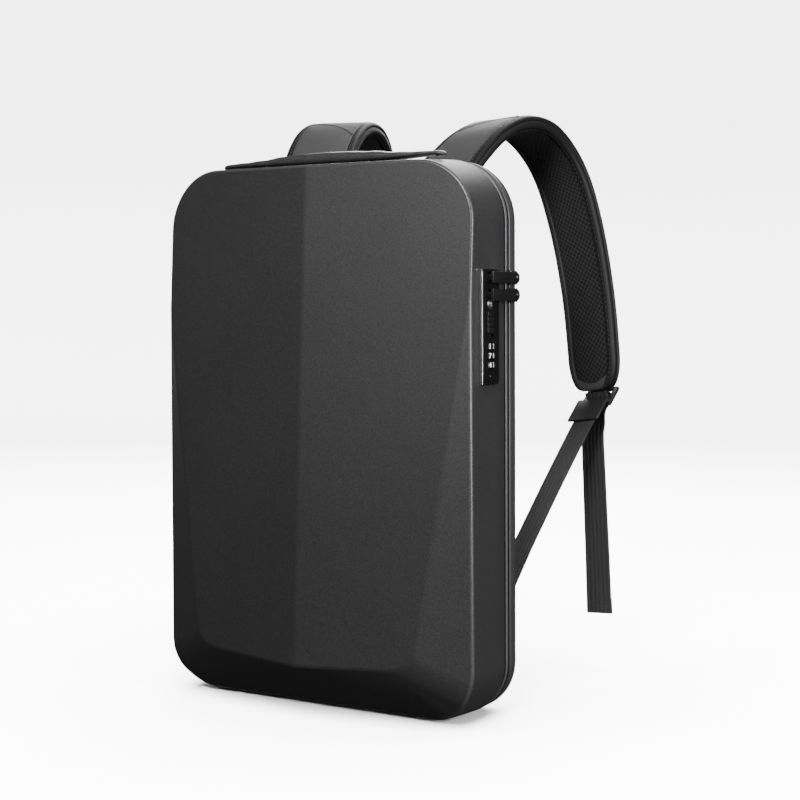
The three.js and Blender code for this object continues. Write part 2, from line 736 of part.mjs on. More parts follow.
// A number dial: a ring with a shallow groove around it, on the spindle
function makeDials(lock) {
  dialHeights.forEach((z, i) => {
    const half = dialWidth / 2;
    const profile = [
      [dialBore, -half],
      [dialRadius - dialEdge, -half],
      [dialRadius, -half + dialEdgeHeight],
      [dialRadius, half - dialEdgeHeight],
      [dialRadius - dialEdge, half],
      [dialBore, half],
      [dialBore, -half],
    ];
    const points = profile.map(([r, h]) => new THREE.Vector2(r, h));
    const dial = new THREE.LatheGeometry(points, 20);
    dial.rotateX(Math.PI / 2);
    dial.translate(dialX, dialsDepth, z);
    addMesh(lock, `dial_${i + 1}`, dial, dialBlack);
  });
}

function makeKeyCylinder(lock) {
  const length = keyLength - clearance;
  const face = plateTop + keyProud;
  const plug = axialCylinder(keyRadius, length, 'x').translate(face - length / 2, 0, keyZ);
  const slot = box(2 * keySlotDepth, keySlotWidth, keyRadius * 1.3, face, 0, keyZ);
  addMesh(lock, 'key_cylinder', toGeometry(toSolid(plug).subtract(toSolid(slot))), metalSilver);
}

// Release slider: it slides down in its recess to let the pulls go
function makeRelease(lock) {
  const thickness = lockPlateThickness + releaseProud - clearance;
  const shape = roundedShape(releaseWidth, releaseHeight, releaseCorner);
  const button = slab(shape, thickness, plateTop + releaseProud - thickness).translate(0, 0, releaseZ);
  let body = toSolid(button);
  for (const step of [-1, 0, 1]) {
    const groove = box(releaseGroove, 2 * releaseWidth, releaseGroove);
    groove.translate(plateTop + releaseProud, 0, releaseZ + step * releaseGroovePitch);
    body = body.subtract(toSolid(groove));
  }
  addMesh(lock, 'release_slider', toGeometry(body), plasticBlack);
}

// A zip slider with its pin, and the pull that hangs on the pin and reaches into the lock
function makeSlider(lock, z, label) {
  const wallSlope = rimDraft / frontDepth;
  const wallAtZip = (frontDepth - lockCentreDepth) / Math.cos(Math.atan(wallSlope));
  const pinDepth = wallAtZip + weltFromShell + weltWidth + sliderDepth / 6;
  const top = sliderAboveWall + sliderThickness;
  const stemDepth = zipBand - weltFromShell - weltWidth - 4 * clearance;
  const stemX = 2 * clearance - tapeInset - wallSlope * (weltFromShell + weltWidth);
  const stemY = wallAtZip + weltFromShell + weltWidth + stemDepth / 2 + clearance;
  const block = box(sliderThickness, sliderDepth, sliderHeight);
  let slider = toSolid(block.translate(top - sliderThickness / 2, pinDepth, z));
  const middle = top - sliderThickness / 2;
  const stem = box(middle - stemX, stemDepth, sliderHeight * sliderStemShare);
  slider = slider.add(toSolid(stem.translate((middle + stemX) / 2, stemY, z)));
  const pinTop = top + pullThickness + 2 * clearance + pinHead;
  const pin = axialCylinder(pinRadius, pinTop - middle, 'x', 12);
  slider = slider.add(toSolid(pin.translate((pinTop + middle) / 2, pinDepth, z)));
  addMesh(lock, `zip_slider_${label}`, toGeometry(slider), metalBlack);

  const shape = new THREE.Shape();
  const half = pullHeight / 2;
  shape.moveTo(pullFront, -half);
  shape.lineTo(pinDepth, -half);
  shape.absarc(pinDepth, 0, half, -Math.PI / 2, Math.PI / 2);
  shape.lineTo(pullFront, half);
  const hole = new THREE.Path();
  hole.absarc(pinDepth, 0, pinRadius + clearance, 0, 2 * Math.PI);
  shape.holes.push(hole);
  const pullX = top + clearance;
  let pull = toSolid(slab(shape, pullThickness, pullX).translate(0, 0, z));
  const tongueReach = pullX + pullThickness + pullTongueLength / 2;
  const tongueX = pullX + pullThickness - tongueReach / 2;
  const tongue = box(tongueReach, pullTongueLength, pullTongueHeight);
  pull = pull.add(toSolid(tongue.translate(tongueX, pullFront + pullTongueLength / 2, z)));
  addMesh(lock, `zip_pull_${label}`, toGeometry(pull), plasticBlack);
}

const lockFrame = makeLockFrame();
makeFrontShell(lockFrame);
makeRearShell();
makeZip();
makeBackPanel();
makeYoke();
for (const [side, label] of [[1, 'right'], [-1, 'left']]) {
  makeStrap(side, label);
  makeShortWeb(side, label);
  makeBuckle(side, label);
  makeLowerWeb(side, label);
  makeWebPatch(side, label);
}
makeHandle();
const lock = lockGroup(lockFrame);
makeLockBody(lock);
makeLockTrim(lock);
makeDials(lock);
makeKeyCylinder(lock);
makeRelease(lock);
makeSlider(lock, pullHeights[0], 'upper');
makeSlider(lock, pullHeights[1], 'lower');

export default pack;
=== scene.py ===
import bpy
import bmesh
from math import copysign, cos, exp, floor, pi, radians, sin, sqrt
from mathutils import Matrix, Vector, noise


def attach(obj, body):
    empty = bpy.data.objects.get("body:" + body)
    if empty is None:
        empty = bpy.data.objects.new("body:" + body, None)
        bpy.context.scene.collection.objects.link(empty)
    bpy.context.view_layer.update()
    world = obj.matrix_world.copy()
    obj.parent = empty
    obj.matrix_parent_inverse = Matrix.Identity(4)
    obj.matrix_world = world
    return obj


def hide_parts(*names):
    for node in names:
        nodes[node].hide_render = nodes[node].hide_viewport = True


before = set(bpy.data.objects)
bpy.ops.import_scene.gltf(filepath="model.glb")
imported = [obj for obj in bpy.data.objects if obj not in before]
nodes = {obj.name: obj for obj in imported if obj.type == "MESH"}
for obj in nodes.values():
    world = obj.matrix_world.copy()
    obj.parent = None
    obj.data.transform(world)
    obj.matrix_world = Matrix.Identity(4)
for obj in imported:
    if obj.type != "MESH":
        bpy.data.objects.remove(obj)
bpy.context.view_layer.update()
mm = 0.001
print("frame loaded:", len(nodes), "nodes")


# ---- camera, lights and floor

camera = {
    "place": (0.6686, -1.0489, 0.3221),
    "turn": (86.615, 0, 30),   # degrees
    "lens": 68.6,
}
lights = {   # place, target and size in metres, power in watts
    "keyLight": ((0.30, -0.93, 0.95), (0.04, 0, 0.4), (0.42, 0.34), 22),
    "edgeLight": ((1.3, -0.3, 0.46), (0.1, 0, 0.3), (0.14, 0.86), 21),
    "topLight": ((0.1, 0.75, 1.4), (0, 0, 0.4), (1.0, 0.5), 12),
    "backLight": ((-0.5, 1.5, 1.0), (0, 0.1, 0.25), (0.9, 0.7), 22),
    "leftLight": ((-1.3, 0.3, 0.7), (0, 0.1, 0.25), (0.3, 0.8), 6),
    "floorLight": ((0, 0, 3.1), (0, 0.01, 0), (4.0, 4.0), 1900),
}
studio = {"floorColour": 0.86, "floorRadius": 2.6, "bend": 0.9, "wallHeight": 3.4, "ambient": 0.06}
floorOnly = bpy.data.collections.new("floorOnly")


def ofType(geometry, kind):
    return [item for item in geometry if isinstance(item, kind)]


def aim(thing, target):
    away = Vector(thing.location) - Vector(target)
    thing.rotation_euler = away.to_track_quat("Z", "Y").to_euler()


def addThing(name, data):
    thing = bpy.data.objects.new(name, data)
    bpy.context.scene.collection.objects.link(thing)
    return thing


def makeCamera():
    data = bpy.data.cameras.new("camera")
    data.lens = camera["lens"]
    data.sensor_width = 36
    data.clip_start = 0.05
    thing = addThing("camera", data)
    thing.location = camera["place"]
    thing.rotation_euler = [radians(angle) for angle in camera["turn"]]
    bpy.context.scene.camera = thing


def makeLights():
    for name, (spot, target, size, power) in lights.items():
        data = bpy.data.lights.new(name, "AREA")
        data.shape = "RECTANGLE"
        data.size, data.size_y = size
        data.energy = power
        thing = addThing(name, data)
        thing.location = spot
        aim(thing, target)
        if name == "floorLight":   # it whitens the floor and leaves the pack alone
            thing.light_linking.receiver_collection = floorOnly
    world = bpy.data.worlds.new("studioWorld")
    world.use_nodes = True
    background = world.node_tree.nodes["Background"]
    background.inputs["Color"].default_value = (1, 1, 1, 1)
    background.inputs["Strength"].default_value = studio["ambient"]
    bpy.context.scene.world = world


def makeFloor(material):
    # a round studio floor that bends up into a wall on every side
    bm = bmesh.new()
    middle = bm.verts.new((0, 0, 0))
    edge = bm.verts.new((0, studio["floorRadius"], 0))
    bm.edges.new((middle, edge))
    made = bmesh.ops.spin(bm, geom=[edge], cent=(0, studio["floorRadius"], studio["bend"]), axis=(1, 0, 0),
                          angle=radians(90), steps=12, use_merge=False)["geom_last"]
    made = bmesh.ops.extrude_vert_indiv(bm, verts=ofType(made, bmesh.types.BMVert))
    bmesh.ops.translate(bm, verts=made["verts"], vec=(0, 0, studio["wallHeight"]))
    bmesh.ops.spin(bm, geom=bm.verts[:] + bm.edges[:], cent=(0, 0, 0), axis=(0, 0, 1), angle=radians(360),
                   steps=64, use_merge=True)
    bmesh.ops.remove_doubles(bm, verts=bm.verts, dist=1e-5)
    bmesh.ops.recalc_face_normals(bm, faces=bm.faces)
    bmesh.ops.reverse_faces(bm, faces=bm.faces)
    mesh = bpy.data.meshes.new("floor")
    bm.to_mesh(mesh)
    bm.free()
    for polygon in mesh.polygons:
        polygon.use_smooth = True
    mesh.materials.append(material)
    thing = addThing("floor", mesh)
    # a dark case mirrors no white floor
    thing.visible_diffuse = thing.visible_glossy = thing.visible_shadow = False
    floorOnly.objects.link(thing)


# ---- materials

def addNode(material, kind, inputs=None, **settings):
    made = material.node_tree.nodes.new(kind)
    for key, value in settings.items():
        setattr(made, key, value)
    for key, value in (inputs or {}).items():
        if isinstance(value, bpy.types.NodeSocket):
            material.node_tree.links.new(value, made.inputs[key])
        else:
            made.inputs[key].default_value = value
    return made


def mathNode(material, operation, a, b=0.0):
    return addNode(material, "ShaderNodeMath", {0: a, 1: b}, operation=operation).outputs[0]


def ramp(material, value, low, high, lowColour, highColour):
    made = addNode(material, "ShaderNodeValToRGB", {"Fac": value})
    first, second = made.color_ramp.elements
    first.position, second.position = low, high
    first.color = (*lowColour, 1)
    second.color = (*highColour, 1)
    return made.outputs["Color"]


def between(material, value, low, high):
    made = addNode(material, "ShaderNodeMapRange", {"Value": value, "To Min": low, "To Max": high})
    return made.outputs["Result"]


def grey(value, tint=0.0):
    return (value * (1 - tint / 2), value * (1 - tint), value * (1 + tint))


def grainFinish(name, look):
    # a surface with a fine grain, broad patches and an uneven gloss
    material = bpy.data.materials.new(name)
    material.use_nodes = True
    shader = material.node_tree.nodes["Principled BSDF"]
    coords = addNode(material, "ShaderNodeTexCoord").outputs[look.get("coords", "Object")]
    grain = addNode(material, "ShaderNodeTexNoise", {"Vector": coords, "Scale": look["grain"], "Detail": 3.0,
                                                     "Roughness": 0.65}).outputs["Fac"]
    patches = addNode(material, "ShaderNodeTexNoise", {"Vector": coords, "Scale": look.get("patches", 14.0),
                                                       "Detail": 2.0}).outputs["Fac"]
    colour = ramp(material, grain, 0.3, 0.72, look["dark"], look["light"])
    shade = between(material, patches, 1 - look.get("uneven", 0.08), 1 + look.get("uneven", 0.08))
    mixed = addNode(material, "ShaderNodeVectorMath", {0: colour, 3: shade}, operation="SCALE").outputs[0]
    material.node_tree.links.new(mixed, shader.inputs["Base Color"])
    gloss = mathNode(material, "ADD", mathNode(material, "MULTIPLY", grain, 0.6),
                     mathNode(material, "MULTIPLY", patches, 0.4))
    low, high = look["rough"]
    material.node_tree.links.new(between(material, gloss, low, high), shader.inputs["Roughness"])
    bump = addNode(material, "ShaderNodeBump", {"Height": grain, "Strength": look["bump"],
                                                "Distance": look["relief"] * mm}).outputs["Normal"]
    material.node_tree.links.new(bump, shader.inputs["Normal"])
    shader.inputs["Metallic"].default_value = look.get("metal", 0.0)
    shader.inputs["Specular IOR Level"].default_value = look.get("specular", 0.5)
    shader.inputs["Sheen Weight"].default_value = look.get("sheen", 0.0)
    shader.inputs["Coat Weight"].default_value = look.get("coat", 0.0)
    return material, {"colour": mixed, "bump": bump, "shader": shader}


def bands(material, vector, direction, pitch):
    # fine lines with a pitch in millimetres; a wave at scale 1 repeats every pi / 10 metres
    return addNode(material, "ShaderNodeTexWave", {"Vector": vector, "Scale": pi / 10 / (pitch * mm)},
                   wave_type="BANDS", bands_direction=direction).outputs["Fac"]


def addWeave(material, parts, look):
    # threads across and along, over the grain; a turn sets them on the diagonal
    kind = addNode(material, "ShaderNodeTexCoord").outputs[look.get("coords", "Object")]
    turned = addNode(material, "ShaderNodeMapping", {"Vector": kind, "Rotation": look.get("turn", (0, 0, 0))})
    first = bands(material, turned.outputs[0], look.get("axes", "XY")[0], look["pitch"][0])
    second = bands(material, turned.outputs[0], look.get("axes", "XY")[1], look["pitch"][1])
    weave = mathNode(material, "MAXIMUM" if look.get("lines") else "MULTIPLY", first, second)
    if look.get("lines"):
        weave = addNode(material, "ShaderNodeMapRange", {"Value": weave, "From Min": look["lines"],
                                                         "From Max": 1.0}).outputs["Result"]
    bump = addNode(material, "ShaderNodeBump", {"Height": weave, "Strength": look["bump"],
                                                "Distance": look["relief"] * mm, "Normal": parts["bump"]})
    parts["bump"] = bump.outputs["Normal"]
    material.node_tree.links.new(parts["bump"], parts["shader"].inputs["Normal"])
    share = mathNode(material, "MULTIPLY", weave, look["share"])
    tone = addNode(material, "ShaderNodeMix", {"Factor": share, "A": parts["colour"], "B": (*look["thread"], 1)},
                   data_type="RGBA")
    parts["colour"] = tone.outputs["Result"]
    material.node_tree.links.new(parts["colour"], parts["shader"].inputs["Base Color"])


finishes = {
    # dark and light grey, tint, grain, lowest and highest roughness, bump, relief in millimetres, the rest
    "frontGrain": (0.016, 0.031, 0.02, 900, (0.36, 0.54), 0.3, 0.25, {"patches": 9.0}),
    # the front rim's bevel: glossier than the shell, and lighter in colour as a painted highlight line along the
    # rim
    "frontRimPaintedHighlight": (0.03, 0.06, 0.02, 900, (0.28, 0.4), 0.2, 0.15, {}),
    # the rear shell is lighter in colour than the front shell: a painted highlight for its glossy rounded band
    "rearGrainPaintedHighlight": (0.022, 0.045, 0.02, 950, (0.3, 0.46), 0.35, 0.2, {"patches": 9.0}),
    "zipTape": (0.002, 0.006, 0, 1500, (0.7, 0.9), 0.4, 0.2, {"specular": 0.2}),
    "zipCoil": (0.005, 0.012, 0, 600, (0.3, 0.5), 0.1, 0.1, {}),
    # the zip lip is glossy, and its light grey is a painted highlight on its rounded edge
    "weltSatinPaintedHighlight": (0.06, 0.1, 0.02, 700, (0.26, 0.4), 0.15, 0.1, {}),
    "backFabric": (0.009, 0.02, 0.02, 1300, (0.75, 0.95), 0.5, 0.3, {"sheen": 0.15}),
    "backMesh": (0.004, 0.012, 0, 1300, (0.8, 0.95), 0.5, 0.3, {"sheen": 0.15}),
    "strapCoat": (0.034, 0.058, 0.015, 1500, (0.48, 0.66), 0.3, 0.15, {"patches": 30.0}),
    "strapBinding": (0.004, 0.011, 0.015, 1300, (0.46, 0.62), 0.3, 0.15, {"patches": 40.0, "specular": 0.25}),
    "strapMesh": (0.002, 0.006, 0, 1600, (0.75, 0.95), 0.6, 0.25, {"sheen": 0.04, "specular": 0.25}),
    "webbing": (0.004, 0.011, 0, 1800, (0.6, 0.8), 0.4, 0.2, {"sheen": 0.05}),
    "thread": (0.03, 0.07, 0, 2500, (0.6, 0.8), 0.3, 0.1, {}),
    "handleLeather": (0.022, 0.048, 0.01, 700, (0.26, 0.42), 0.25, 0.2, {"patches": 25.0}),
    "blackPlastic": (0.003, 0.007, 0, 1400, (0.34, 0.48), 0.2, 0.1, {"specular": 0.4}),
    "bucklePlastic": (0.012, 0.022, 0, 1400, (0.3, 0.44), 0.2, 0.1, {}),
    "lockPlastic": (0.002, 0.005, 0, 1200, (0.3, 0.42), 0.2, 0.1, {"specular": 0.3}),
    "darkMetal": (0.05, 0.09, 0, 500, (0.25, 0.42), 0.1, 0.08, {"metal": 0.9}),
    "silver": (0.62, 0.76, 0.01, 350, (0.14, 0.3), 0.06, 0.05, {"metal": 1.0}),
    "digitWhite": (0.75, 0.86, 0, 900, (0.45, 0.6), 0.1, 0.05, {}),
    "floorPaint": (studio["floorColour"] - 0.01, studio["floorColour"] + 0.01, 0, 60, (0.7, 0.85), 0.02, 0.1,
                   {"patches": 3.0, "uneven": 0.01}),
}
weaves = {
    "zipTape": {"pitch": (1.1, 0.9), "axes": "YZ", "bump": 0.6, "relief": 0.25,
                "share": 0.35, "thread": grey(0.012)},
    "backFabric": {"pitch": (0.9, 0.9), "axes": "XZ", "bump": 0.6, "relief": 0.3,
                   "share": 0.4, "thread": grey(0.035, 0.02)},
    "backMesh": {"pitch": (2.6, 2.6), "axes": "XZ", "turn": (0, pi / 4, 0), "bump": 0.8,
                 "relief": 0.6, "share": 0.5, "thread": grey(0.03), "lines": 0.55},
    "strapHoles": {"coords": "UV", "pitch": (1.2, 1.2), "bump": 0.7, "relief": 0.3, "share": 0.4,
                   "thread": grey(0.008)},
    "strapMesh": {"coords": "UV", "pitch": (3.6, 3.6), "turn": (0, 0, radians(52)), "bump": 0.8,
                  "relief": 0.5, "share": 0.85, "thread": grey(0.05), "lines": 0.93},
    "webbing": {"coords": "UV", "pitch": (1.4, 1.0), "turn": (0, 0, radians(32)), "bump": 0.9,
                "relief": 0.4, "share": 0.7, "thread": grey(0.1)},
}
mats = {}
for name, (dark, light, tint, grain, rough, bump, relief, rest) in finishes.items():
    look = {"dark": grey(dark, tint), "light": grey(light, tint), "grain": grain, "rough": rough, "bump": bump,
            "relief": relief, **rest}
    mats[name], parts = grainFinish(name, look)
    if name == "strapMesh":   # the small holes between the diagonal lines
        addWeave(mats[name], parts, weaves["strapHoles"])
    if name in weaves:
        addWeave(mats[name], parts, weaves[name])
print("materials:", len(mats))


# ---- shared ways of making a piece

def finishPiece(name, bm, materials, body="pack", stands=(), slot=None, sharp=40, normals=True):
    if normals:
        bmesh.ops.recalc_face_normals(bm, faces=bm.faces)
    mesh = bpy.data.meshes.new(name)
    bm.to_mesh(mesh)
    bm.free()
    for key in materials:
        mesh.materials.append(mats[key])
    for polygon in mesh.polygons:
        polygon.use_smooth = True
    mesh.set_sharp_from_angle(angle=radians(sharp))
    piece = addThing(name, mesh)
    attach(piece, body)
    if stands:
        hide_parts(*stands)
    return piece


def addWall(piece, thickness):
    wall = piece.modifiers.new("wall", "SOLIDIFY")
    wall.thickness = thickness * mm
    wall.offset = -1


def addWeights(piece):
    # flat faces keep their flat shading beside rounded edges
    weighted = piece.modifiers.new("weighted", "WEIGHTED_NORMAL")
    weighted.keep_sharp = True


def addSmoothing(piece):
    smooth = piece.modifiers.new("smooth", "SUBSURF")
    smooth.levels = smooth.render_levels = 1


def roundEdges(bm, edges, radius, segments, clamp=False):
    made = bmesh.ops.bevel(bm, geom=edges, offset=radius * mm, offset_type="OFFSET", segments=segments,
                           profile=0.5, affect="EDGES", clamp_overlap=clamp, material=-1)
    return made["faces"]


def axesMatrix(x, y, z):
    return Matrix((x, y, z)).transposed().to_4x4()


# ---- the case

case = {   # millimetres; depths count back from the front rim
    "height": 440, "width": 296, "narrowing": 6, "topCorner": 49, "footCorner": 43, "cornerSegments": 14,
    "originBehindRim": 26, "frontDepth": 44, "rimDraft": 3,
}
front = {
    "ridgeTop": 14, "ridgeFoot": 33, "foldHeight": 40, "foldCorner": (102, -23, 45.6), "sideFoldTop": 350,
    "sideEdgeLift": 2, "footSetback": 9, "footLineHalf": 130, "rollRadius": 46, "wall": 2.5,
    "rimRadius": 2.0, "creaseRadius": 2.2, "creaseAngle": 8.5,
    "lockDepths": (10.2, 30.5), "lockHeights": (266.5, 351.5),
}
rear = {"start": 55, "end": 68, "edgeRadius": 5, "wall": 2.5}


def place(x, depth, z):
    return Vector((x, depth - case["originBehindRim"], z)) * mm


def narrowingAt(z):
    return 1 - case["narrowing"] / case["width"] * z / case["height"]


def draftAt(depth):
    return case["rimDraft"] * (1 - depth / case["frontDepth"]) if depth < case["frontDepth"] else 0.0


def outlinePlate(depth, inset=0.0, segments=None):
    # the rounded outline of the case as one face, not yet narrowed towards the top
    bm = bmesh.new()
    half = case["width"] / 2 - inset
    low, high = inset, case["height"] - inset
    spots = ((-half, low), (half, low), (half, high), (-half, high))
    corners = [bm.verts.new(place(x, depth, z)) for x, z in spots]
    bm.faces.new(corners)
    steps = segments or case["cornerSegments"]
    for pair, radius in ((corners[:2], case["footCorner"]), (corners[2:], case["topCorner"])):
        bmesh.ops.bevel(bm, geom=pair, offset=(radius - inset) * mm, offset_type="OFFSET", segments=steps,
                        profile=0.5, affect="VERTICES", material=-1)
    return bm


def narrow(bm):
    for vert in bm.verts:
        vert.co.x *= narrowingAt(vert.co.z / mm)


def pushOut(bm, face, toDepth, inset=0.0):
    # extrudes a face of the outline to another depth, drawn in by inset all round
    made = bmesh.ops.extrude_face_region(bm, geom=[face])["geom"]
    verts = ofType(made, bmesh.types.BMVert)
    centre = Vector((0, 0, case["height"] / 2 * mm))
    bmesh.ops.translate(bm, verts=verts, vec=(0, place(0, toDepth, 0).y - verts[0].co.y, 0))
    if inset:
        scale = (1 - 2 * inset / case["width"], 1, 1 - 2 * inset / case["height"])
        bmesh.ops.scale(bm, vec=scale, space=Matrix.Translation(-centre), verts=verts)
    return ofType(made, bmesh.types.BMFace)[0]


def slab(start, end, inset=0.0):
    bm = outlinePlate(start, inset)
    pushOut(bm, bm.faces[:][0], end)
    narrow(bm)
    return bm


def outlineLoop(depth, inset, segments):
    bm = outlinePlate(depth, inset, segments)
    narrow(bm)
    loop = [v.co.copy() for v in bm.faces[:][0].verts]
    bm.free()
    return loop


def facesAt(bm, depth):
    y = place(0, depth, 0).y
    return [f for f in bm.faces if all(abs(v.co.y - y) < 1e-6 for v in f.verts)]


def panelDepth(x, z):
    rise = (front["ridgeFoot"] - front["ridgeTop"]) / (case["height"] - front["foldHeight"])
    cornerX, cornerDepth, cornerZ = front["foldCorner"]
    fall = (cornerDepth + front["ridgeFoot"] - rise * (cornerZ - front["foldHeight"])) / cornerX
    return -front["ridgeFoot"] + rise * (z - front["foldHeight"]) + fall * abs(x)


def facing(*points):
    a, b, c = (place(*point) for point in points)
    normal = (b - a).cross(c - a).normalized()
    return -normal if normal.y > 0 else normal


def facetPlanes():
    # a point and the outward direction of every flat of the moulded front
    half = case["width"] / 2
    cornerX, cornerDepth, cornerZ = front["foldCorner"]
    foldFoot = (0, -front["ridgeFoot"], front["foldHeight"])
    ridgeTop = (0, panelDepth(0, case["height"]), case["height"])
    footMiddle = (0, front["footSetback"], 0)
    planes = []
    for side in (1, -1):
        corner = (side * cornerX, cornerDepth, cornerZ)
        sideTop = (side * half, panelDepth(half, front["sideFoldTop"]), front["sideFoldTop"])
        sideFoot = (side * half, -front["sideEdgeLift"], cornerZ)
        footSide = (side * front["footLineHalf"], front["footSetback"], 0)
        flank = facing(sideTop, corner, sideFoot)
        under = facing(foldFoot, corner, footSide)
        planes += [(place(*foldFoot), facing(ridgeTop, foldFoot, corner)), (place(*corner), flank),
                   (place(*foldFoot), facing(foldFoot, footMiddle, footSide)), (place(*corner), under)]
        # the flank rolls softly into the underside
        radius = front["rollRadius"] * mm
        centre = place(*corner) - (flank + under) * radius / (1 + flank.dot(under))
        for share in (0.2, 0.4, 0.6, 0.8):
            normal = flank.slerp(under, share)
            planes.append((centre + normal * radius, normal))
    return planes


def cutLockOpening(bm):
    # the hole in the right wall that the lock is set into
    cuts = [(place(0, depth, 0), (0, 1, 0)) for depth in front["lockDepths"]]
    cuts += [(place(0, 0, height), (0, 0, 1)) for height in front["lockHeights"]]
    for point, direction in cuts:
        wall = [f for f in bm.faces if f.normal.x > 0.9]
        edges = {e for f in wall for e in f.edges}
        verts = {v for f in wall for v in f.verts}
        bmesh.ops.bisect_plane(bm, geom=wall + list(edges) + list(verts), dist=1e-7, plane_co=point,
                               plane_no=direction)
        bm.normal_update()
    (near, far), (low, high) = front["lockDepths"], front["lockHeights"]
    inside = []
    for face in bm.faces:
        middle = face.calc_center_median()
        depth, height = middle.y / mm + case["originBehindRim"], middle.z / mm
        if face.normal.x > 0.9 and near < depth < far and low < height < high:
            inside.append(face)
    bmesh.ops.delete(bm, geom=inside, context="FACES")


def makeFrontShell():
    bm = outlinePlate(case["frontDepth"])
    start = -front["ridgeFoot"] - 5
    pushOut(bm, bm.faces[:][0], start, draftAt(start))
    for point, normal in facetPlanes():
        everything = bm.verts[:] + bm.edges[:] + bm.faces[:]
        cut = bmesh.ops.bisect_plane(bm, geom=everything, dist=1e-7, plane_co=point, plane_no=normal,
                                     clear_outer=True)
        bmesh.ops.edgeloop_fill(bm, edges=ofType(cut["geom_cut"], bmesh.types.BMEdge))
    bmesh.ops.remove_doubles(bm, verts=bm.verts, dist=1e-6)
    bmesh.ops.recalc_face_normals(bm, faces=bm.faces)
    narrow(bm)
    bm.normal_update()
    facets = {f for f in bm.faces if f.normal.y < -0.3}
    rim = [e for e in bm.edges if sum(f in facets for f in e.link_faces) == 1]
    # the rim bevel takes the lighter rim finish, a painted highlight line
    for face in roundEdges(bm, rim, front["rimRadius"], 4):
        face.material_index = 1
    bm.normal_update()
    facets = {f for f in bm.faces if f.normal.y < -0.3 and f.material_index == 0}
    creases = [e for e in bm.edges if all(f in facets for f in e.link_faces)
               and not all(f.normal.z < -0.35 for f in e.link_faces)
               and e.calc_face_angle(0) > radians(front["creaseAngle"])]
    roundEdges(bm, creases, front["creaseRadius"], 3, clamp=True)
    bmesh.ops.delete(bm, geom=facesAt(bm, case["frontDepth"]), context="FACES")
    cutLockOpening(bm)
    piece = finishPiece("frontShell", bm, ["frontGrain", "frontRimPaintedHighlight"], stands=["front_shell"], slot="front_shell",
                        sharp=60)
    addWall(piece, front["wall"])
    addWeights(piece)


def makeRearShell():
    bm = slab(rear["start"], rear["end"])
    back = facesAt(bm, rear["end"])[0]
    roundEdges(bm, back.edges[:], rear["edgeRadius"], 5)
    bmesh.ops.delete(bm, geom=facesAt(bm, rear["start"]), context="FACES")
    # the rear shell's lighter finish is a painted highlight on its rounded band
    piece = finishPiece("rearShell", bm, ["rearGrainPaintedHighlight"], stands=["rear_shell"], slot="rear_shell", sharp=60)
    addWall(piece, rear["wall"])
    addWeights(piece)


# ---- the zip that joins the two halves

zipper = {
    "tape": (44.3, 54.7), "tapeInset": 2.0, "tapeWall": 1.6,
    "lip": (48.4, 51.8), "lipInset": 0.5, "lipWall": 1.4, "lipRounding": 1.0,
    "teethDepth": 53.1, "teethInset": 1.75, "toothPitch": 2.1, "toothSize": (1.3, 2.0, 1.1),
}


def makeBand(name, span, inset, wall, material, node, rounding=0.0):
    bm = slab(*span, inset)
    if rounding:
        rims = [e for depth in span for f in facesAt(bm, depth) for e in f.edges]
        roundEdges(bm, rims, rounding, 3)
    bmesh.ops.delete(bm, geom=facesAt(bm, span[0]) + facesAt(bm, span[1]), context="FACES")
    piece = finishPiece(name, bm, [material], stands=[node], slot=node, sharp=60)
    addWall(piece, wall)


def makeTeeth():
    loop = outlineLoop(zipper["teethDepth"], zipper["teethInset"], 24)
    bm = bmesh.new()
    back = Vector((0, 1, 0))
    pitch = zipper["toothPitch"] * mm
    left = pitch / 2
    for here, there in zip(loop, loop[1:] + loop[:1]):
        step = there - here
        along = step.normalized()
        turn = axesMatrix(along, back, along.cross(back))
        while left < step.length:
            spot = Matrix.Translation(here + along * left) @ turn
            size = Matrix.Diagonal((*[value * mm for value in zipper["toothSize"]], 1))
            bmesh.ops.create_cube(bm, size=1, matrix=spot @ size)
            left += pitch
        left -= step.length
    finishPiece("zipTeeth", bm, ["zipCoil"], slot="zip_tape", sharp=30)


makeCamera()
makeLights()
makeFloor(mats["floorPaint"])
makeFrontShell()
makeRearShell()
makeBand("zipTapeBand", zipper["tape"], zipper["tapeInset"], zipper["tapeWall"], "zipTape", "zip_tape")
# the lip's light grey finish is a painted highlight on its rounded edge
makeBand("zipLip", zipper["lip"], zipper["lipInset"], zipper["lipWall"], "weltSatinPaintedHighlight", "zip_welt",
         zipper["lipRounding"])
makeTeeth()
print("case and zip made")


# ---- padded back

backPad = {
    "start": 68.3, "panelThickness": 3.2, "panelEdge": 1.4, "inset": 7, "padGap": 0.1,
    "pipingRadius": 1.7, "pipingInset": 1.2, "pipingSides": 8,
    "pads": [   # centre x, centre height, width, height
        (-66, 205, 112, 300),
        (66, 205, 112, 300),
    ],
    "padThickness": 6.4, "cornerPinch": 3.0, "channels": (-0.36, 0.36), "channelDepth": 0.55,
}
padForm = {   # powers of the fall-off across and along a pad, then millimetres
    "crown": (5, 14), "corners": (6, 10), "cornerShare": 0.5, "pinchPower": 8,
    "channelHalf": 4.5, "ripple": 0.35, "ripplesPerMm": 0.03,
}
yoke = {"width": 222, "height": 33, "middle": 387, "start": 78.7, "thickness": 12.4, "pinch": 1.6, "edge": 0.55}


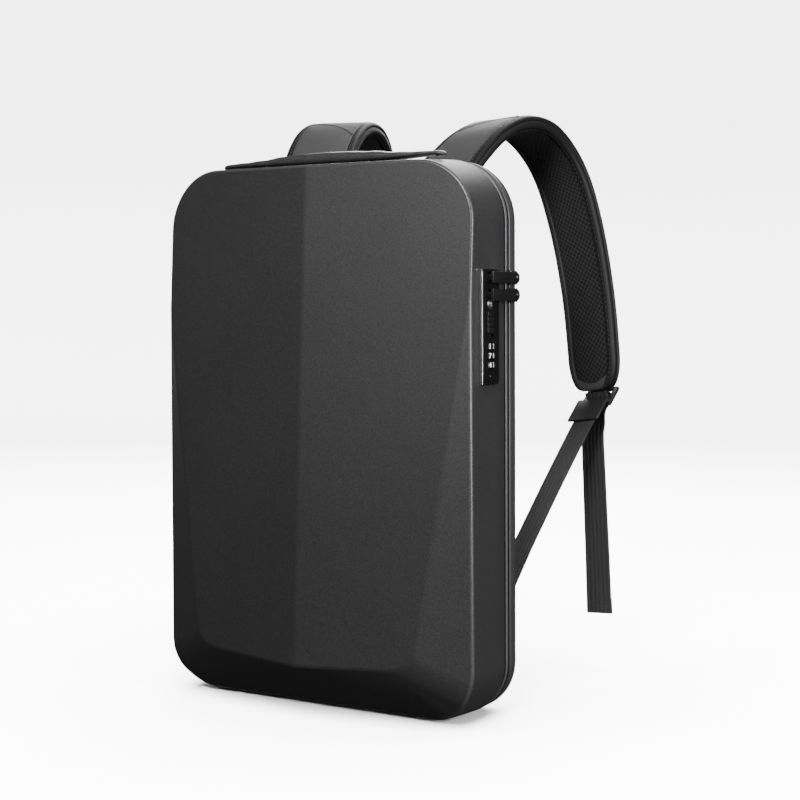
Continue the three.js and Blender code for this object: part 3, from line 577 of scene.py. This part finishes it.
def crownedPad(bm, centre, width, height, thickness, steps, channels=(), channelDepth=0.5, pinch=3.0, edge=0.35):
    # a sewn pad on the back: full in the middle, drawn in along its edge and at its channels
    made = bmesh.ops.create_grid(bm, x_segments=steps[0], y_segments=steps[1], size=0.5)["verts"]
    for vert in made:
        u, v = vert.co.x * 2, vert.co.y * 2
        (crownU, crownV), (cornerU, cornerV) = padForm["crown"], padForm["corners"]
        corner = (abs(u) ** cornerU + abs(v) ** cornerV) * padForm["cornerShare"] * (abs(u * v) ** 2)
        squareness = 1 - corner
        x = u * (width / 2 - pinch * abs(v) ** padForm["pinchPower"])
        z = v * (height / 2 - pinch * abs(u) ** padForm["pinchPower"])
        crown = sqrt(1 - abs(u) ** crownU) * sqrt(1 - abs(v) ** crownV)
        for channel in channels:
            crown *= 1 - channelDepth * exp(-((v - channel) * height / 2 / padForm["channelHalf"]) ** 2)
        wave = padForm["ripplesPerMm"]
        ripple = noise.noise(Vector((x * wave, z * wave, thickness))) * padForm["ripple"]
        out = thickness * (edge + (1 - edge) * crown * squareness) + ripple * crown
        vert.co = place(centre[0] + x, centre[1] + out, centre[2] + z)
    rim = [e for v in made for e in v.link_edges if e.is_boundary]
    made = bmesh.ops.extrude_edge_only(bm, edges=list(set(rim)))["geom"]
    foot = ofType(made, bmesh.types.BMVert)
    for vert in foot:
        vert.co.y = place(0, centre[1], 0).y
    bmesh.ops.edgeloop_fill(bm, edges=[e for e in ofType(made, bmesh.types.BMEdge) if e.is_boundary])


def makeBack():
    face = backPad["start"] + backPad["panelThickness"]
    bm = slab(backPad["start"], face, backPad["inset"])
    outer = facesAt(bm, face)[0]
    roundEdges(bm, outer.edges[:], backPad["panelEdge"], 3)
    panel = finishPiece("backPanel", bm, ["backFabric"], stands=["back_panel"], slot="back_fabric", sharp=50)
    seat = face + backPad["padGap"]
    for label, (x, z, width, height) in zip(("left", "right"), backPad["pads"]):
        bm = bmesh.new()
        crownedPad(bm, (x, seat, z), width, height, backPad["padThickness"], (26, 62), backPad["channels"],
                   backPad["channelDepth"], backPad["cornerPinch"])
        pad = finishPiece("backPad_" + label, bm, ["backMesh"], slot="back_fabric", sharp=60)
        addSmoothing(pad)


def makePiping():
    # a corded edge around the back panel
    depth = backPad["start"] + backPad["panelThickness"]
    points = outlineLoop(depth, backPad["inset"] + backPad["pipingInset"], 12)
    bm = bmesh.new()
    rings = []
    for i, here in enumerate(points):
        along = (points[(i + 1) % len(points)] - points[i - 1]).normalized()
        turn = Vector((0, 0, 1)).rotation_difference(along).to_matrix().to_4x4()
        made = bmesh.ops.create_circle(bm, segments=backPad["pipingSides"], radius=backPad["pipingRadius"] * mm,
                                       matrix=Matrix.Translation(here) @ turn)
        rings.append(made["verts"])
    edges = bm.edges[:]
    for i, ring in enumerate(rings):
        pair = set(ring) | set(rings[(i + 1) % len(rings)])
        bmesh.ops.bridge_loops(bm, edges=[e for e in edges if all(v in pair for v in e.verts)])
    finishPiece("backPiping", bm, ["strapBinding"], slot="back_fabric", sharp=80)


def makeYoke():
    bm = bmesh.new()
    crownedPad(bm, (0, yoke["start"], yoke["middle"]), yoke["width"], yoke["height"], yoke["thickness"],
               (60, 14), pinch=yoke["pinch"], edge=yoke["edge"])
    piece = finishPiece("strapYoke", bm, ["backFabric"], stands=["strap_yoke"], slot="back_fabric", sharp=60)
    addSmoothing(piece)


makeBack()
makePiping()
makeYoke()
print("padded back made")


# ---- ribbons: straps and webbing run along a curve through a few rows

straps = {
    "rows": [   # x, depth, height, turn of the width, share of the right strap's drop
        (60, 86, 405, 0, 0), (60, 87, 418, -1, 0), (64, 98, 434, -9, 0), (70, 116, 455, -14, 0.5),
        (76, 140, 475, -16, 0.9), (83, 172, 487, -16, 1), (90, 205, 485, -16, 1), (96, 230, 470, -16, 0.9),
        (103, 247, 445, -16, 0.6), (113, 256, 402, -16, 0.3), (124, 261, 335, -17, 0), (134.5, 257, 249, -18, 0),
    ],
    "rightDrop": 6, "firstRow": (86.0, 404.9), "width": 66, "footWidth": 55, "endRadius": 30, "endWidth": 26.2,
    "bindingWidth": 6.6, "stitchPitch": 4.2,
    "stitchRows": [(-1.9, 6.12), (1.9, 6.42), (-2.6, -6.12)],   # past the binding, height
    "seamNear": 90, "seamRise": 26, "seamBend": 2.2, "seamInset": 1.4, "seamWidth": 2.6, "seamHeight": 0.7,
    "seamSteps": 40,
}
strapSection = {   # half of the cover's section; None is the floor that the mesh pad lies in
    # share of the half width, share of the binding's width, outwards, height
    "top": [(1.0, 0, -1.5, 1.3), (1.0, 0, -0.1, 2.2), (1.0, 0, -0.4, 4.4), (1.0, 0, -1.8, 5.75),
            (1.0, 1, 0.9, 6.15), (1.0, 1, 0.0, 5.5), (1.0, 1, -0.9, 6.2), (0.5, 0, 0.0, 6.5)],
    "under": [(1.0, 0, -0.2, 0.3), (1.0, 0, 0.0, -3.6), (1.0, 0, -2.0, -5.9), (1.0, 1, 1.6, -6.1),
              (1.0, 1, 0.5, -5.2), (1.0, 1, 0.3, None), (0.5, 0, 0.0, None)],
    "floor": -3.4, "endFloor": -5.75, "endLength": 13, "startLength": 2, "bindingShare": 0.45,
}
meshPad = {
    "endGap": 4.5, "endRise": 5, "startGap": 1, "startRise": 6, "cornerRadius": 11, "overlap": 0.1,
    "depth": 4.6, "crown": 1.85, "wrinkle": 0.35, "endWrinkle": 0.5, "endWrinkleLength": 70,
}
webbing = {
    "width": 25, "thickness": 1.6, "edge": 1.1, "ribs": 6, "ribDepth": 0.42,
    "lower": [(112, 81.3, 62, 0), (113.5, 96, 80, -12), (118, 135, 120, -26), (124.5, 188, 174, -26)],
    "tail": [(131.5, 257, 214, -16), (133, 258, 165, -12), (136.5, 257, 105, -8), (140, 255, 47, -4)],
    "hemLength": 16, "hemStitches": 24, "hemRowHalf": 10.5, "hemStitchSize": (0.85, 0.3, 0.24),
}
buckle = {"thickness": 3.6, "bar": 3, "window": 6, "tilt": 44, "belowPad": 6, "behindPad": 4, "tabLength": 25,
          "fit": 0.3, "edge": 0.55}


def curveAt(points, share):
    # centripetal curve through the points
    count = len(points)
    spot = share * (count - 1)
    i = min(int(floor(spot)), count - 2)
    w = spot - i
    b, c = points[i], points[i + 1]
    a = points[i - 1] if i > 0 else b * 2 - c
    d = points[i + 2] if i + 2 < count else c * 2 - b
    gaps = [max(sqrt((q - p).length), 1e-4) for p, q in ((a, b), (b, c), (c, d))]
    start = ((b - a) / gaps[0] - (c - a) / (gaps[0] + gaps[1]) + (c - b) / gaps[1]) * gaps[1]
    stop = ((c - b) / gaps[1] - (d - b) / (gaps[1] + gaps[2]) + (d - c) / gaps[2]) * gaps[1]
    return b + start * w + (c * 3 - b * 3 - start * 2 - stop) * w ** 2 + (b * 2 - c * 2 + start + stop) * w ** 3


def stationsOn(rows, shares):
    # each station: point, width direction, outward direction, distance along
    points = [row[0] for row in rows]
    stations = []
    length = 0.0
    for share in shares:
        spot = share * (len(rows) - 1)
        i = min(int(floor(spot)), len(rows) - 2)
        width = rows[i][1].lerp(rows[i + 1][1], spot - i)
        step = (curveAt(points, min(share + 1e-4, 1)) - curveAt(points, max(share - 1e-4, 0))).normalized()
        width = (width - step * width.dot(step)).normalized()
        point = curveAt(points, share)
        if stations:
            length += (point - stations[-1]["point"]).length
        stations.append({"point": point, "width": width, "out": width.cross(step), "length": length})
    return stations


def rowsOf(table, side, drop=0.0):
    rows = []
    for x, depth, z, turn, *lower in table:
        angle = radians(turn)
        lowered = drop * lower[0] if lower and side > 0 else 0
        rows.append((place(side * x, depth, z - lowered), Vector((cos(angle), side * sin(angle), 0))))
    return rows


def strapStations(side, shares):
    rows = rowsOf(straps["rows"], side, straps["rightDrop"])
    depth, height = straps["firstRow"]
    rows[0] = (place(side * straps["rows"][0][0], depth, height), rows[0][1])
    return stationsOn(rows, shares)


def strapHalfWidth(stations, shares, index):
    left = (stations[index]["point"] - stations[-1]["point"]).length / mm
    share = max(0, 1 - left / straps["endRadius"])
    full = straps["width"] + (straps["footWidth"] - straps["width"]) * shares[index]
    return (straps["endWidth"] + (full - straps["endWidth"]) * sqrt(1 - share ** 2)) / 2


def sweep(name, stations, sectionAt, materials, strips=None, **settings):
    # pulls a closed section along the stations; strips gives the material of each strip of faces
    bm = bmesh.new()
    corner = bm.verts.layers.int.new("corner")
    across = bm.verts.layers.float.new("across")
    along = bm.verts.layers.float.new("along")
    section = sectionAt(0)
    ring = [bm.verts.new() for _ in section]
    for i, vert in enumerate(ring):
        vert[corner] = i
    edges = [bm.edges.new((ring[i - 1], ring[i])) for i in range(len(ring))]
    firstEdges = edges
    for index, station in enumerate(stations):
        if index:
            made = bmesh.ops.extrude_edge_only(bm, edges=edges)["geom"]
            ring = ofType(made, bmesh.types.BMVert)
            fresh = set(ring)
            edges = [e for e in ofType(made, bmesh.types.BMEdge) if e.verts[0] in fresh and e.verts[1] in fresh]
        section = sectionAt(index)
        for vert in ring:
            x, out = section[vert[corner]]
            vert.co = station["point"] + station["width"] * x * mm + station["out"] * out * mm
            vert[across] = x * mm
            vert[along] = station["length"]
    last = len(section) - 1
    uv = bm.loops.layers.uv.new("UVMap")
    for face in bm.faces:
        numbers = sorted({v[corner] for v in face.verts})
        strip = last if numbers == [0, last] else numbers[0]
        if strips:
            face.material_index = strips[strip]
        for loop in face.loops:
            loop[uv].uv = (loop.vert[across], loop.vert[along])
    bmesh.ops.edgeloop_fill(bm, edges=firstEdges)
    bmesh.ops.edgeloop_fill(bm, edges=edges)
    return finishPiece(name, bm, materials, **settings)


def stitchRow(bm, stations, acrossAt, outAt, pitch, size=(1.25, 0.34, 0.26), skip=2.0):
    # short raised stitches along a line on a ribbon
    points = [s["point"] + s["width"] * acrossAt(i) * mm + s["out"] * outAt(i) * mm
              for i, s in enumerate(stations)]
    left = skip * mm
    for i in range(len(points) - 1):
        step = points[i + 1] - points[i]
        if step.length < 1e-7:
            continue
        along = step.normalized()
        out = stations[i]["out"]
        side = out.cross(along).normalized()
        turn = axesMatrix(along, side, along.cross(side))
        while left < step.length:
            scale = Matrix.Diagonal((*[value * mm for value in size], 1))
            bmesh.ops.create_icosphere(bm, subdivisions=1, radius=1,
                                       matrix=Matrix.Translation(points[i] + along * left) @ turn @ scale)
            left += pitch * mm
        left -= step.length


# ---- shoulder straps

strapShares = [i / 110 for i in range(104)] + [0.945 + 0.055 * i / 22 for i in range(1, 23)]


def makeStrap(side, label):
    stations = strapStations(side, strapShares)
    total = stations[-1]["length"]
    halves = [strapHalfWidth(stations, strapShares, i) for i in range(len(stations))]
    binding = straps["bindingWidth"]

    def toEnd(index):
        return (total - stations[index]["length"]) / mm

    def pastStart(index, length):
        return stations[index]["length"] > length * mm

    def coverSection(index):
        h = halves[index]
        inside = toEnd(index) > strapSection["endLength"] and pastStart(index, strapSection["startLength"])
        sink = strapSection["floor" if inside else "endFloor"]
        b = min(binding, h * strapSection["bindingShare"])
        top, under = ([(h * share - b * bound + outwards, sink if height is None else height)
                       for share, bound, outwards, height in strapSection[key]] for key in ("top", "under"))
        mirrored = [[(-x, height) for x, height in half] for half in (top, under)]
        return mirrored[0] + top[::-1] + under + mirrored[1][::-1]

    strips = [0 if 4 < i < 10 or 20 < i < 25 else 1 for i in range(30)]
    cover = sweep("strapCover_" + label, stations, coverSection, ["strapCoat", "strapBinding"], strips,
                  stands=["strap_face_" + label], slot="strap_face", sharp=70)
    addSmoothing(cover)

    inner = [i for i in range(len(stations))
             if toEnd(i) > meshPad["endGap"] and pastStart(i, meshPad["startGap"])]
    padStations = [stations[i] for i in inner]

    def padSection(k):
        half, station, left = halves[inner[k]], stations[inner[k]], toEnd(inner[k])
        p = half - min(binding, half * strapSection["bindingShare"]) + meshPad["overlap"]
        corner = max(0, 1 - (left - meshPad["endGap"]) / meshPad["cornerRadius"])
        p -= meshPad["cornerRadius"] * (1 - sqrt(1 - corner ** 2))
        near = min(1.0, (left - meshPad["endGap"] + 0.1) / meshPad["endRise"],
                   station["length"] / mm / meshPad["startRise"])
        endShare = max(0, 1 - left / meshPad["endWrinkleLength"])
        wrinkle = noise.noise(station["point"] * 55) * meshPad["wrinkle"]
        wrinkle += noise.noise(station["point"] * 160) * meshPad["endWrinkle"] * endShare
        low = -meshPad["depth"] - (meshPad["crown"] + wrinkle) * sqrt(max(near, 0.02))
        edge = [(-p, -3.7), (-p + 0.5, -4.7), (-p + 2.2, low * 0.6 - 1.9), (-p + 6, low + 0.25), (-p * 0.4, low)]
        return edge + [(-x, out) for x, out in reversed(edge)]

    pad = sweep("strapPad_" + label, padStations, padSection, ["strapMesh"], stands=["strap_pad_" + label],
                slot="strap_mesh", sharp=80)
    addSmoothing(pad)

    bm = bmesh.new()
    for edge in (-1, 1):
        for pastBinding, out in straps["stitchRows"]:
            inset = binding + pastBinding
            stitchRow(bm, stations, lambda i: edge * (halves[i] - min(inset, halves[i] * 0.6)), lambda i: out,
                      straps["stitchPitch"])
    finishPiece("strapStitches_" + label, bm, ["thread"], slot="strap_face", sharp=80)

    # the outer face is joined by a curved, folded seam where the strap bends over
    seam = []
    steps = straps["seamSteps"]
    for i in range(steps + 1):
        u = -1 + 2 * i / steps
        inward = (1 - side * u) / 2
        far = straps["seamNear"] + straps["seamRise"] * (1 - inward ** straps["seamBend"])
        k = max(j for j, s in enumerate(stations) if s["length"] <= far * mm)
        low, high = stations[k], stations[k + 1]
        t = (far * mm - low["length"]) / (high["length"] - low["length"])
        mixed = {key: low[key].lerp(high[key], t) for key in ("point", "width", "out")}
        x = u * (halves[k] - binding - straps["seamInset"])
        seam.append({"point": mixed["point"] + mixed["width"] * x * mm, "out": mixed["out"]})
    for i, spot in enumerate(seam):
        step = seam[min(i + 1, steps)]["point"] - seam[max(i - 1, 0)]["point"]
        spot["width"] = step.cross(spot["out"]).normalized()
        spot["length"] = i * mm
    half, height = straps["seamWidth"] / 2, straps["seamHeight"]
    face = 6.35   # the height of the cover's outer face
    fold = [(-half, 6.0), (-half, face + height * 0.6), (-half * 0.5, face + height),
            (half * 0.5, face + height * 0.6), (half, 6.4), (half, 6.0)]
    sweep("strapSeam_" + label, seam, lambda i: fold, ["strapCoat"], slot="strap_face", sharp=60)


# ---- buckles and webbing

def buckleFrame(side):
    end = strapStations(side, strapShares)[-1]
    up = end["width"].cross(end["out"])
    centre = end["point"] - up * buckle["belowPad"] * mm + end["out"] * buckle["behindPad"] * mm
    basis = axesMatrix(end["width"], end["out"], up)
    return Matrix.Translation(centre) @ basis @ Matrix.Rotation(-radians(buckle["tilt"]), 4, "X")


def aroundBar(barZ, fromAngle, toAngle):
    offset = 2 * buckle["fit"] + webbing["thickness"] / 2
    depth, reach = buckle["thickness"] / 2 + offset, buckle["bar"] / 2 + offset
    route = []
    for step in range(9):
        angle = radians(fromAngle + (toAngle - fromAngle) * step / 8)
        square = [(1 if value >= 0 else -1) * sqrt(abs(value)) for value in (cos(angle), sin(angle))]
        route.append(Vector((0, depth * square[0], barZ + reach * square[1])) * mm)
    return route


def webSection(index):
    half, thick = webbing["width"] / 2, webbing["thickness"] / 2
    steps = webbing["ribs"] * 5
    row = []
    for i in range(steps + 1):
        x = -half + 2 * half * i / steps
        edge = min(1.0, (half - abs(x)) / webbing["edge"])
        rib = webbing["ribDepth"] * (0.5 + 0.5 * cos(2 * pi * webbing["ribs"] * i / steps))
        row.append((x, thick * (0.45 + 0.55 * edge) - rib * edge))
    return row + [(x, -out) for x, out in reversed(row)]


def makeWebbing(side, label):
    buckleAt = buckleFrame(side)
    across = buckleAt.to_3x3().col[0].copy()
    thickness = webbing["thickness"]
    barZ = -buckle["bar"] - buckle["window"]
    turn = aroundBar(barZ, 180, 0)
    tabFoot = -buckle["bar"] / 2 - buckle["window"] - buckle["tabLength"]
    up = Vector((0, turn[0].y, (tabFoot - thickness) * mm))
    down = Vector((0, -turn[0].y, (barZ - 2 * buckle["bar"]) * mm))
    overBar = [(buckleAt @ point, across) for point in [up, *turn, down]]
    rows = rowsOf(webbing["lower"], side) + overBar + rowsOf(webbing["tail"], side)
    shares = [i / 300 for i in range(301)]
    stations = stationsOn(rows, shares)
    sweep("longWeb_" + label, stations, webSection, ["webbing"], stands=["lower_web_" + label], slot="webbing",
          sharp=50)

    end = strapStations(side, strapShares)[-1]
    downwards = end["out"].cross(end["width"])
    foot = end["point"] + downwards * 4 * buckle["fit"] * mm
    legs = [foot + end["out"] * out * thickness * mm for out in (1, -1)]
    middle = [buckleAt @ point for point in aroundBar(0, 90, -90)]
    loop = stationsOn([(point, across) for point in [legs[0], *middle, legs[1]]], [i / 60 for i in range(61)])
    sweep("shortWeb_" + label, loop, webSection, ["webbing"], stands=["short_web_" + label], slot="webbing",
          sharp=50)

    total = stations[-1]["length"]
    hem = [s for s in stations if total - s["length"] < webbing["hemLength"] * mm]

    def hemSection(index):
        return [(x * 0.985, out + (1.5 if out > 0 else 1.1)) for x, out in webSection(index)]

    sweep("webHem_" + label, hem, hemSection, ["webbing"], slot="webbing", sharp=50)
    bm = bmesh.new()
    for base in (hem[1], hem[-3]):
        line = []
        for i in range(webbing["hemStitches"]):
            x = webbing["hemRowHalf"] * (2 * i / (webbing["hemStitches"] - 1) - 1) * mm
            line.append({"point": base["point"] + base["width"] * x, "out": base["out"]})
        for offset in (2.35, -1.0):
            spread = [{"point": s["point"] + s["out"] * offset * mm, "width": Vector((0, 0, 0)), "out": s["out"]}
                      for s in line]
            stitchRow(bm, spread, lambda i: 0, lambda i: 0, 2.4, webbing["hemStitchSize"], 0.5)
    finishPiece("hemStitches_" + label, bm, ["thread"], slot="webbing", sharp=80)


def soften(nodeName, name, material, slot, edge, segments=2, body="pack"):
    # the CAD solid with its edges rounded
    bm = bmesh.new()
    bm.from_mesh(nodes[nodeName].data)
    bmesh.ops.remove_doubles(bm, verts=bm.verts, dist=2e-6)
    bmesh.ops.dissolve_limit(bm, angle_limit=radians(1), verts=bm.verts, edges=bm.edges)
    edges = [e for e in bm.edges if e.is_manifold and e.calc_face_angle(0) > radians(35)]
    roundEdges(bm, edges, edge, segments, clamp=True)
    finishPiece(name, bm, [material], body=body, stands=[nodeName], slot=slot, sharp=35, normals=False)


for side, label in ((1, "right"), (-1, "left")):
    makeStrap(side, label)
    makeWebbing(side, label)
    soften("buckle_" + label, "buckleForm_" + label, "bucklePlastic", "black_plastic", buckle["edge"])
    soften("web_patch_" + label, "webPatch_" + label, "webbing", "webbing", 0.4)
print("straps and webbing made")


# ---- carrying handle

handle = {
    "halfLength": 105, "depth": 24, "width": 24, "thickness": 10.6, "tipThickness": 2.4, "gap": 0.6,
    "lifts": (2.0, 4.0), "liftFrom": 0.25, "liftPower": 1.3,   # the ends stand off the case, left and right
    "sides": 20, "squareness": 0.8, "stitchEdge": 0.8, "stitchHeight": 0.62,
    "rows": [   # share of the half length, share of the thickness, share of the width
        (0.0, 1.0, 1.0), (0.2, 0.97, 1.0), (0.4, 0.8, 0.95), (0.6, 0.48, 0.8), (0.78, 0.28, 0.62),
        (0.93, 0.16, 0.46), (0.97, 0.2, 0.4), (1.0, 0.05, 0.28),
    ],
}


def topAt(x, depth):
    half = (case["width"] / 2 - draftAt(depth)) * narrowingAt(case["height"])
    beyond = abs(x) - (half - case["topCorner"])
    drop = case["topCorner"] - sqrt(case["topCorner"] ** 2 - beyond ** 2) if beyond > 0 else 0
    return case["height"] - draftAt(depth) - drop


def handleProfile(share):
    rows = handle["rows"]
    for low, high in zip(rows, rows[1:]):
        if share <= high[0]:
            t = (share - low[0]) / (high[0] - low[0])
            t = t * t * (3 - 2 * t)
            return [low[k] + (high[k] - low[k]) * t for k in (1, 2)]
    return rows[-1][1:]


def makeHandle():
    steps = 84
    stations = []
    sizes = []
    for i in range(steps + 1):
        along = -1 + 2 * i / steps
        x = along * handle["halfLength"]
        share, width = handleProfile(abs(along))
        thick = handle["tipThickness"] + share * (handle["thickness"] - handle["tipThickness"])
        base = topAt(x, handle["depth"] - handle["width"] / 2) + handle["gap"]
        beyond = max(0, (abs(along) - handle["liftFrom"]) / (1 - handle["liftFrom"]))
        lift = handle["lifts"][along > 0] * beyond ** handle["liftPower"]
        stations.append({"point": place(x, handle["depth"], base + lift + thick / 2), "width": Vector((0, 1, 0)),
                         "out": Vector((0, 0, 1)), "length": (x + handle["halfLength"]) * mm})
        sizes.append((width * handle["width"] / 2, thick / 2))

    def section(index):
        half, thick = sizes[index]
        ring = []
        for k in range(handle["sides"]):
            angle = 2 * pi * k / handle["sides"]
            x, out = (copysign(abs(value) ** handle["squareness"], value) for value in (cos(angle), sin(angle)))
            ring.append((half * x, thick * out))
        return ring

    piece = sweep("handleGrip", stations, section, ["handleLeather"], stands=["top_handle"],
                  slot="handle_leather", sharp=70)
    addSmoothing(piece)
    bm = bmesh.new()
    for edge in (-1, 1):
        stitchRow(bm, stations[8:-8], lambda i: edge * sizes[i + 8][0] * handle["stitchEdge"],
                  lambda i: sizes[i + 8][1] * handle["stitchHeight"], 3.6, (1.1, 0.3, 0.24))
    finishPiece("handleStitches", bm, ["thread"], slot="handle_leather", sharp=80)
    for label in ("right", "left"):
        soften("handle_rivet_" + label, "rivetForm_" + label, "darkMetal", "dark_metal", 0.25)


makeHandle()
print("handle made")


# ---- combination lock, dials and zip pulls

lock = {
    "origin": (144.2129, -7.0, 309.0),   # millimetres from the part's origin
    "out": (0.997726, -0.067058, 0.006724), "back": (0.067057, 0.997749, 0.000452),
    "up": (-0.00674, 0, 0.999977),
    "dialBodies": ("dial_one", "dial_two", "dial_three"), "dialHeights": (-14.9, -22.0, -29.1),
    "dialRadius": 7.2, "dialX": -3.7, "dialDepth": 1.5, "shown": (2, 8, 5), "shownTurn": 14, "digitSize": 5.3, "digitWeight": 0.13,
    "digitRise": 0.04, "edge": 0.35,
    "collars": [(17.5, 3.1, 3.9), (-37.5, 0.5, 0.9)],   # height, inner and outer radius: key, then reset hole
    "collarFace": 2.55, "collarRise": 0.12, "collarWall": 0.25, "collarSides": 28,
}


def lockFrame():
    basis = axesMatrix(*[Vector(lock[key]) for key in ("out", "back", "up")])
    return Matrix.Translation(Vector(lock["origin"]) * mm) @ basis


def makeDigits(number, height, shown):
    # ten figures around a dial, the shown one facing out
    bm = bmesh.new()
    at = lockFrame() @ Matrix.Translation(Vector((lock["dialX"], lock["dialDepth"], height)) * mm)
    for figure in range(10):
        text = bpy.data.curves.new("figure", "FONT")
        text.body = str(figure)
        text.size = lock["digitSize"] * mm
        text.align_x = text.align_y = "CENTER"
        text.extrude = lock["digitRise"] * mm
        text.resolution_u = 3
        text.offset = lock["digitWeight"] * mm
        thing = addThing("figure", text)
        bpy.context.view_layer.update()
        mesh = bpy.data.meshes.new_from_object(thing)
        bpy.data.objects.remove(thing)
        # text lies in x, y: its x goes round the dial, its y goes up
        upright = Matrix(((0, 0, 1, (lock["dialRadius"] + 0.02) * mm), (1, 0, 0, 0), (0, 1, 0, 0), (0, 0, 0, 1)))
        turn = radians(360 / 10 * (figure - shown) + lock["shownTurn"])
        mesh.transform(at @ Matrix.Rotation(turn, 4, "Z") @ upright)
        bm.from_mesh(mesh)
        bpy.data.meshes.remove(mesh)
    finishPiece("dialFigures_%d" % number, bm, ["digitWhite"], body=lock["dialBodies"][number - 1],
                slot="dial_plastic", normals=False)


def makeLock():
    soften("lock_body", "lockBody", "lockPlastic", "black_plastic", lock["edge"])
    soften("lock_trim", "lockStrip", "silver", "silver_metal", 0.3)
    for number, (height, shown) in enumerate(zip(lock["dialHeights"], lock["shown"]), 1):
        soften("dial_%d" % number, "dialForm_%d" % number, "lockPlastic", "dial_plastic", 0.2,
               body=lock["dialBodies"][number - 1])
        makeDigits(number, height, shown)
    soften("key_cylinder", "keyPlug", "silver", "silver_metal", 0.2, body="key")
    soften("release_slider", "releaseButton", "blackPlastic", "black_plastic", 0.25, body="release")
    for end in ("upper", "lower"):
        soften("zip_slider_" + end, "sliderForm_" + end, "darkMetal", "dark_metal", 0.4)
        soften("zip_pull_" + end, "pullForm_" + end, "blackPlastic", "black_plastic", 0.5, 3)


def makeCollars():
    # bright collar around the key, and the reset hole below the dials
    bm = bmesh.new()
    at = lockFrame()
    for z, inner, outer in lock["collars"]:
        centre = at @ Matrix.Translation(Vector((lock["collarFace"], 0, z)) * mm)
        rim = bmesh.ops.create_circle(bm, segments=lock["collarSides"], radius=outer * mm,
                                      matrix=centre @ Matrix.Rotation(pi / 2, 4, "Y"))["verts"]
        edges = list({e for v in rim for e in v.link_edges})
        made = bmesh.ops.extrude_edge_only(bm, edges=edges)["geom"]
        ring = ofType(made, bmesh.types.BMVert)
        bmesh.ops.scale(bm, vec=(1, inner / outer, inner / outer), space=centre.inverted(), verts=ring)
        bmesh.ops.translate(bm, verts=ring, vec=at.to_3x3() @ Vector((lock["collarRise"] * mm, 0, 0)))
    piece = finishPiece("lockCollars", bm, ["silver"], slot="silver_metal", sharp=60)
    addWall(piece, lock["collarWall"])


makeLock()
makeCollars()
print("lock made")
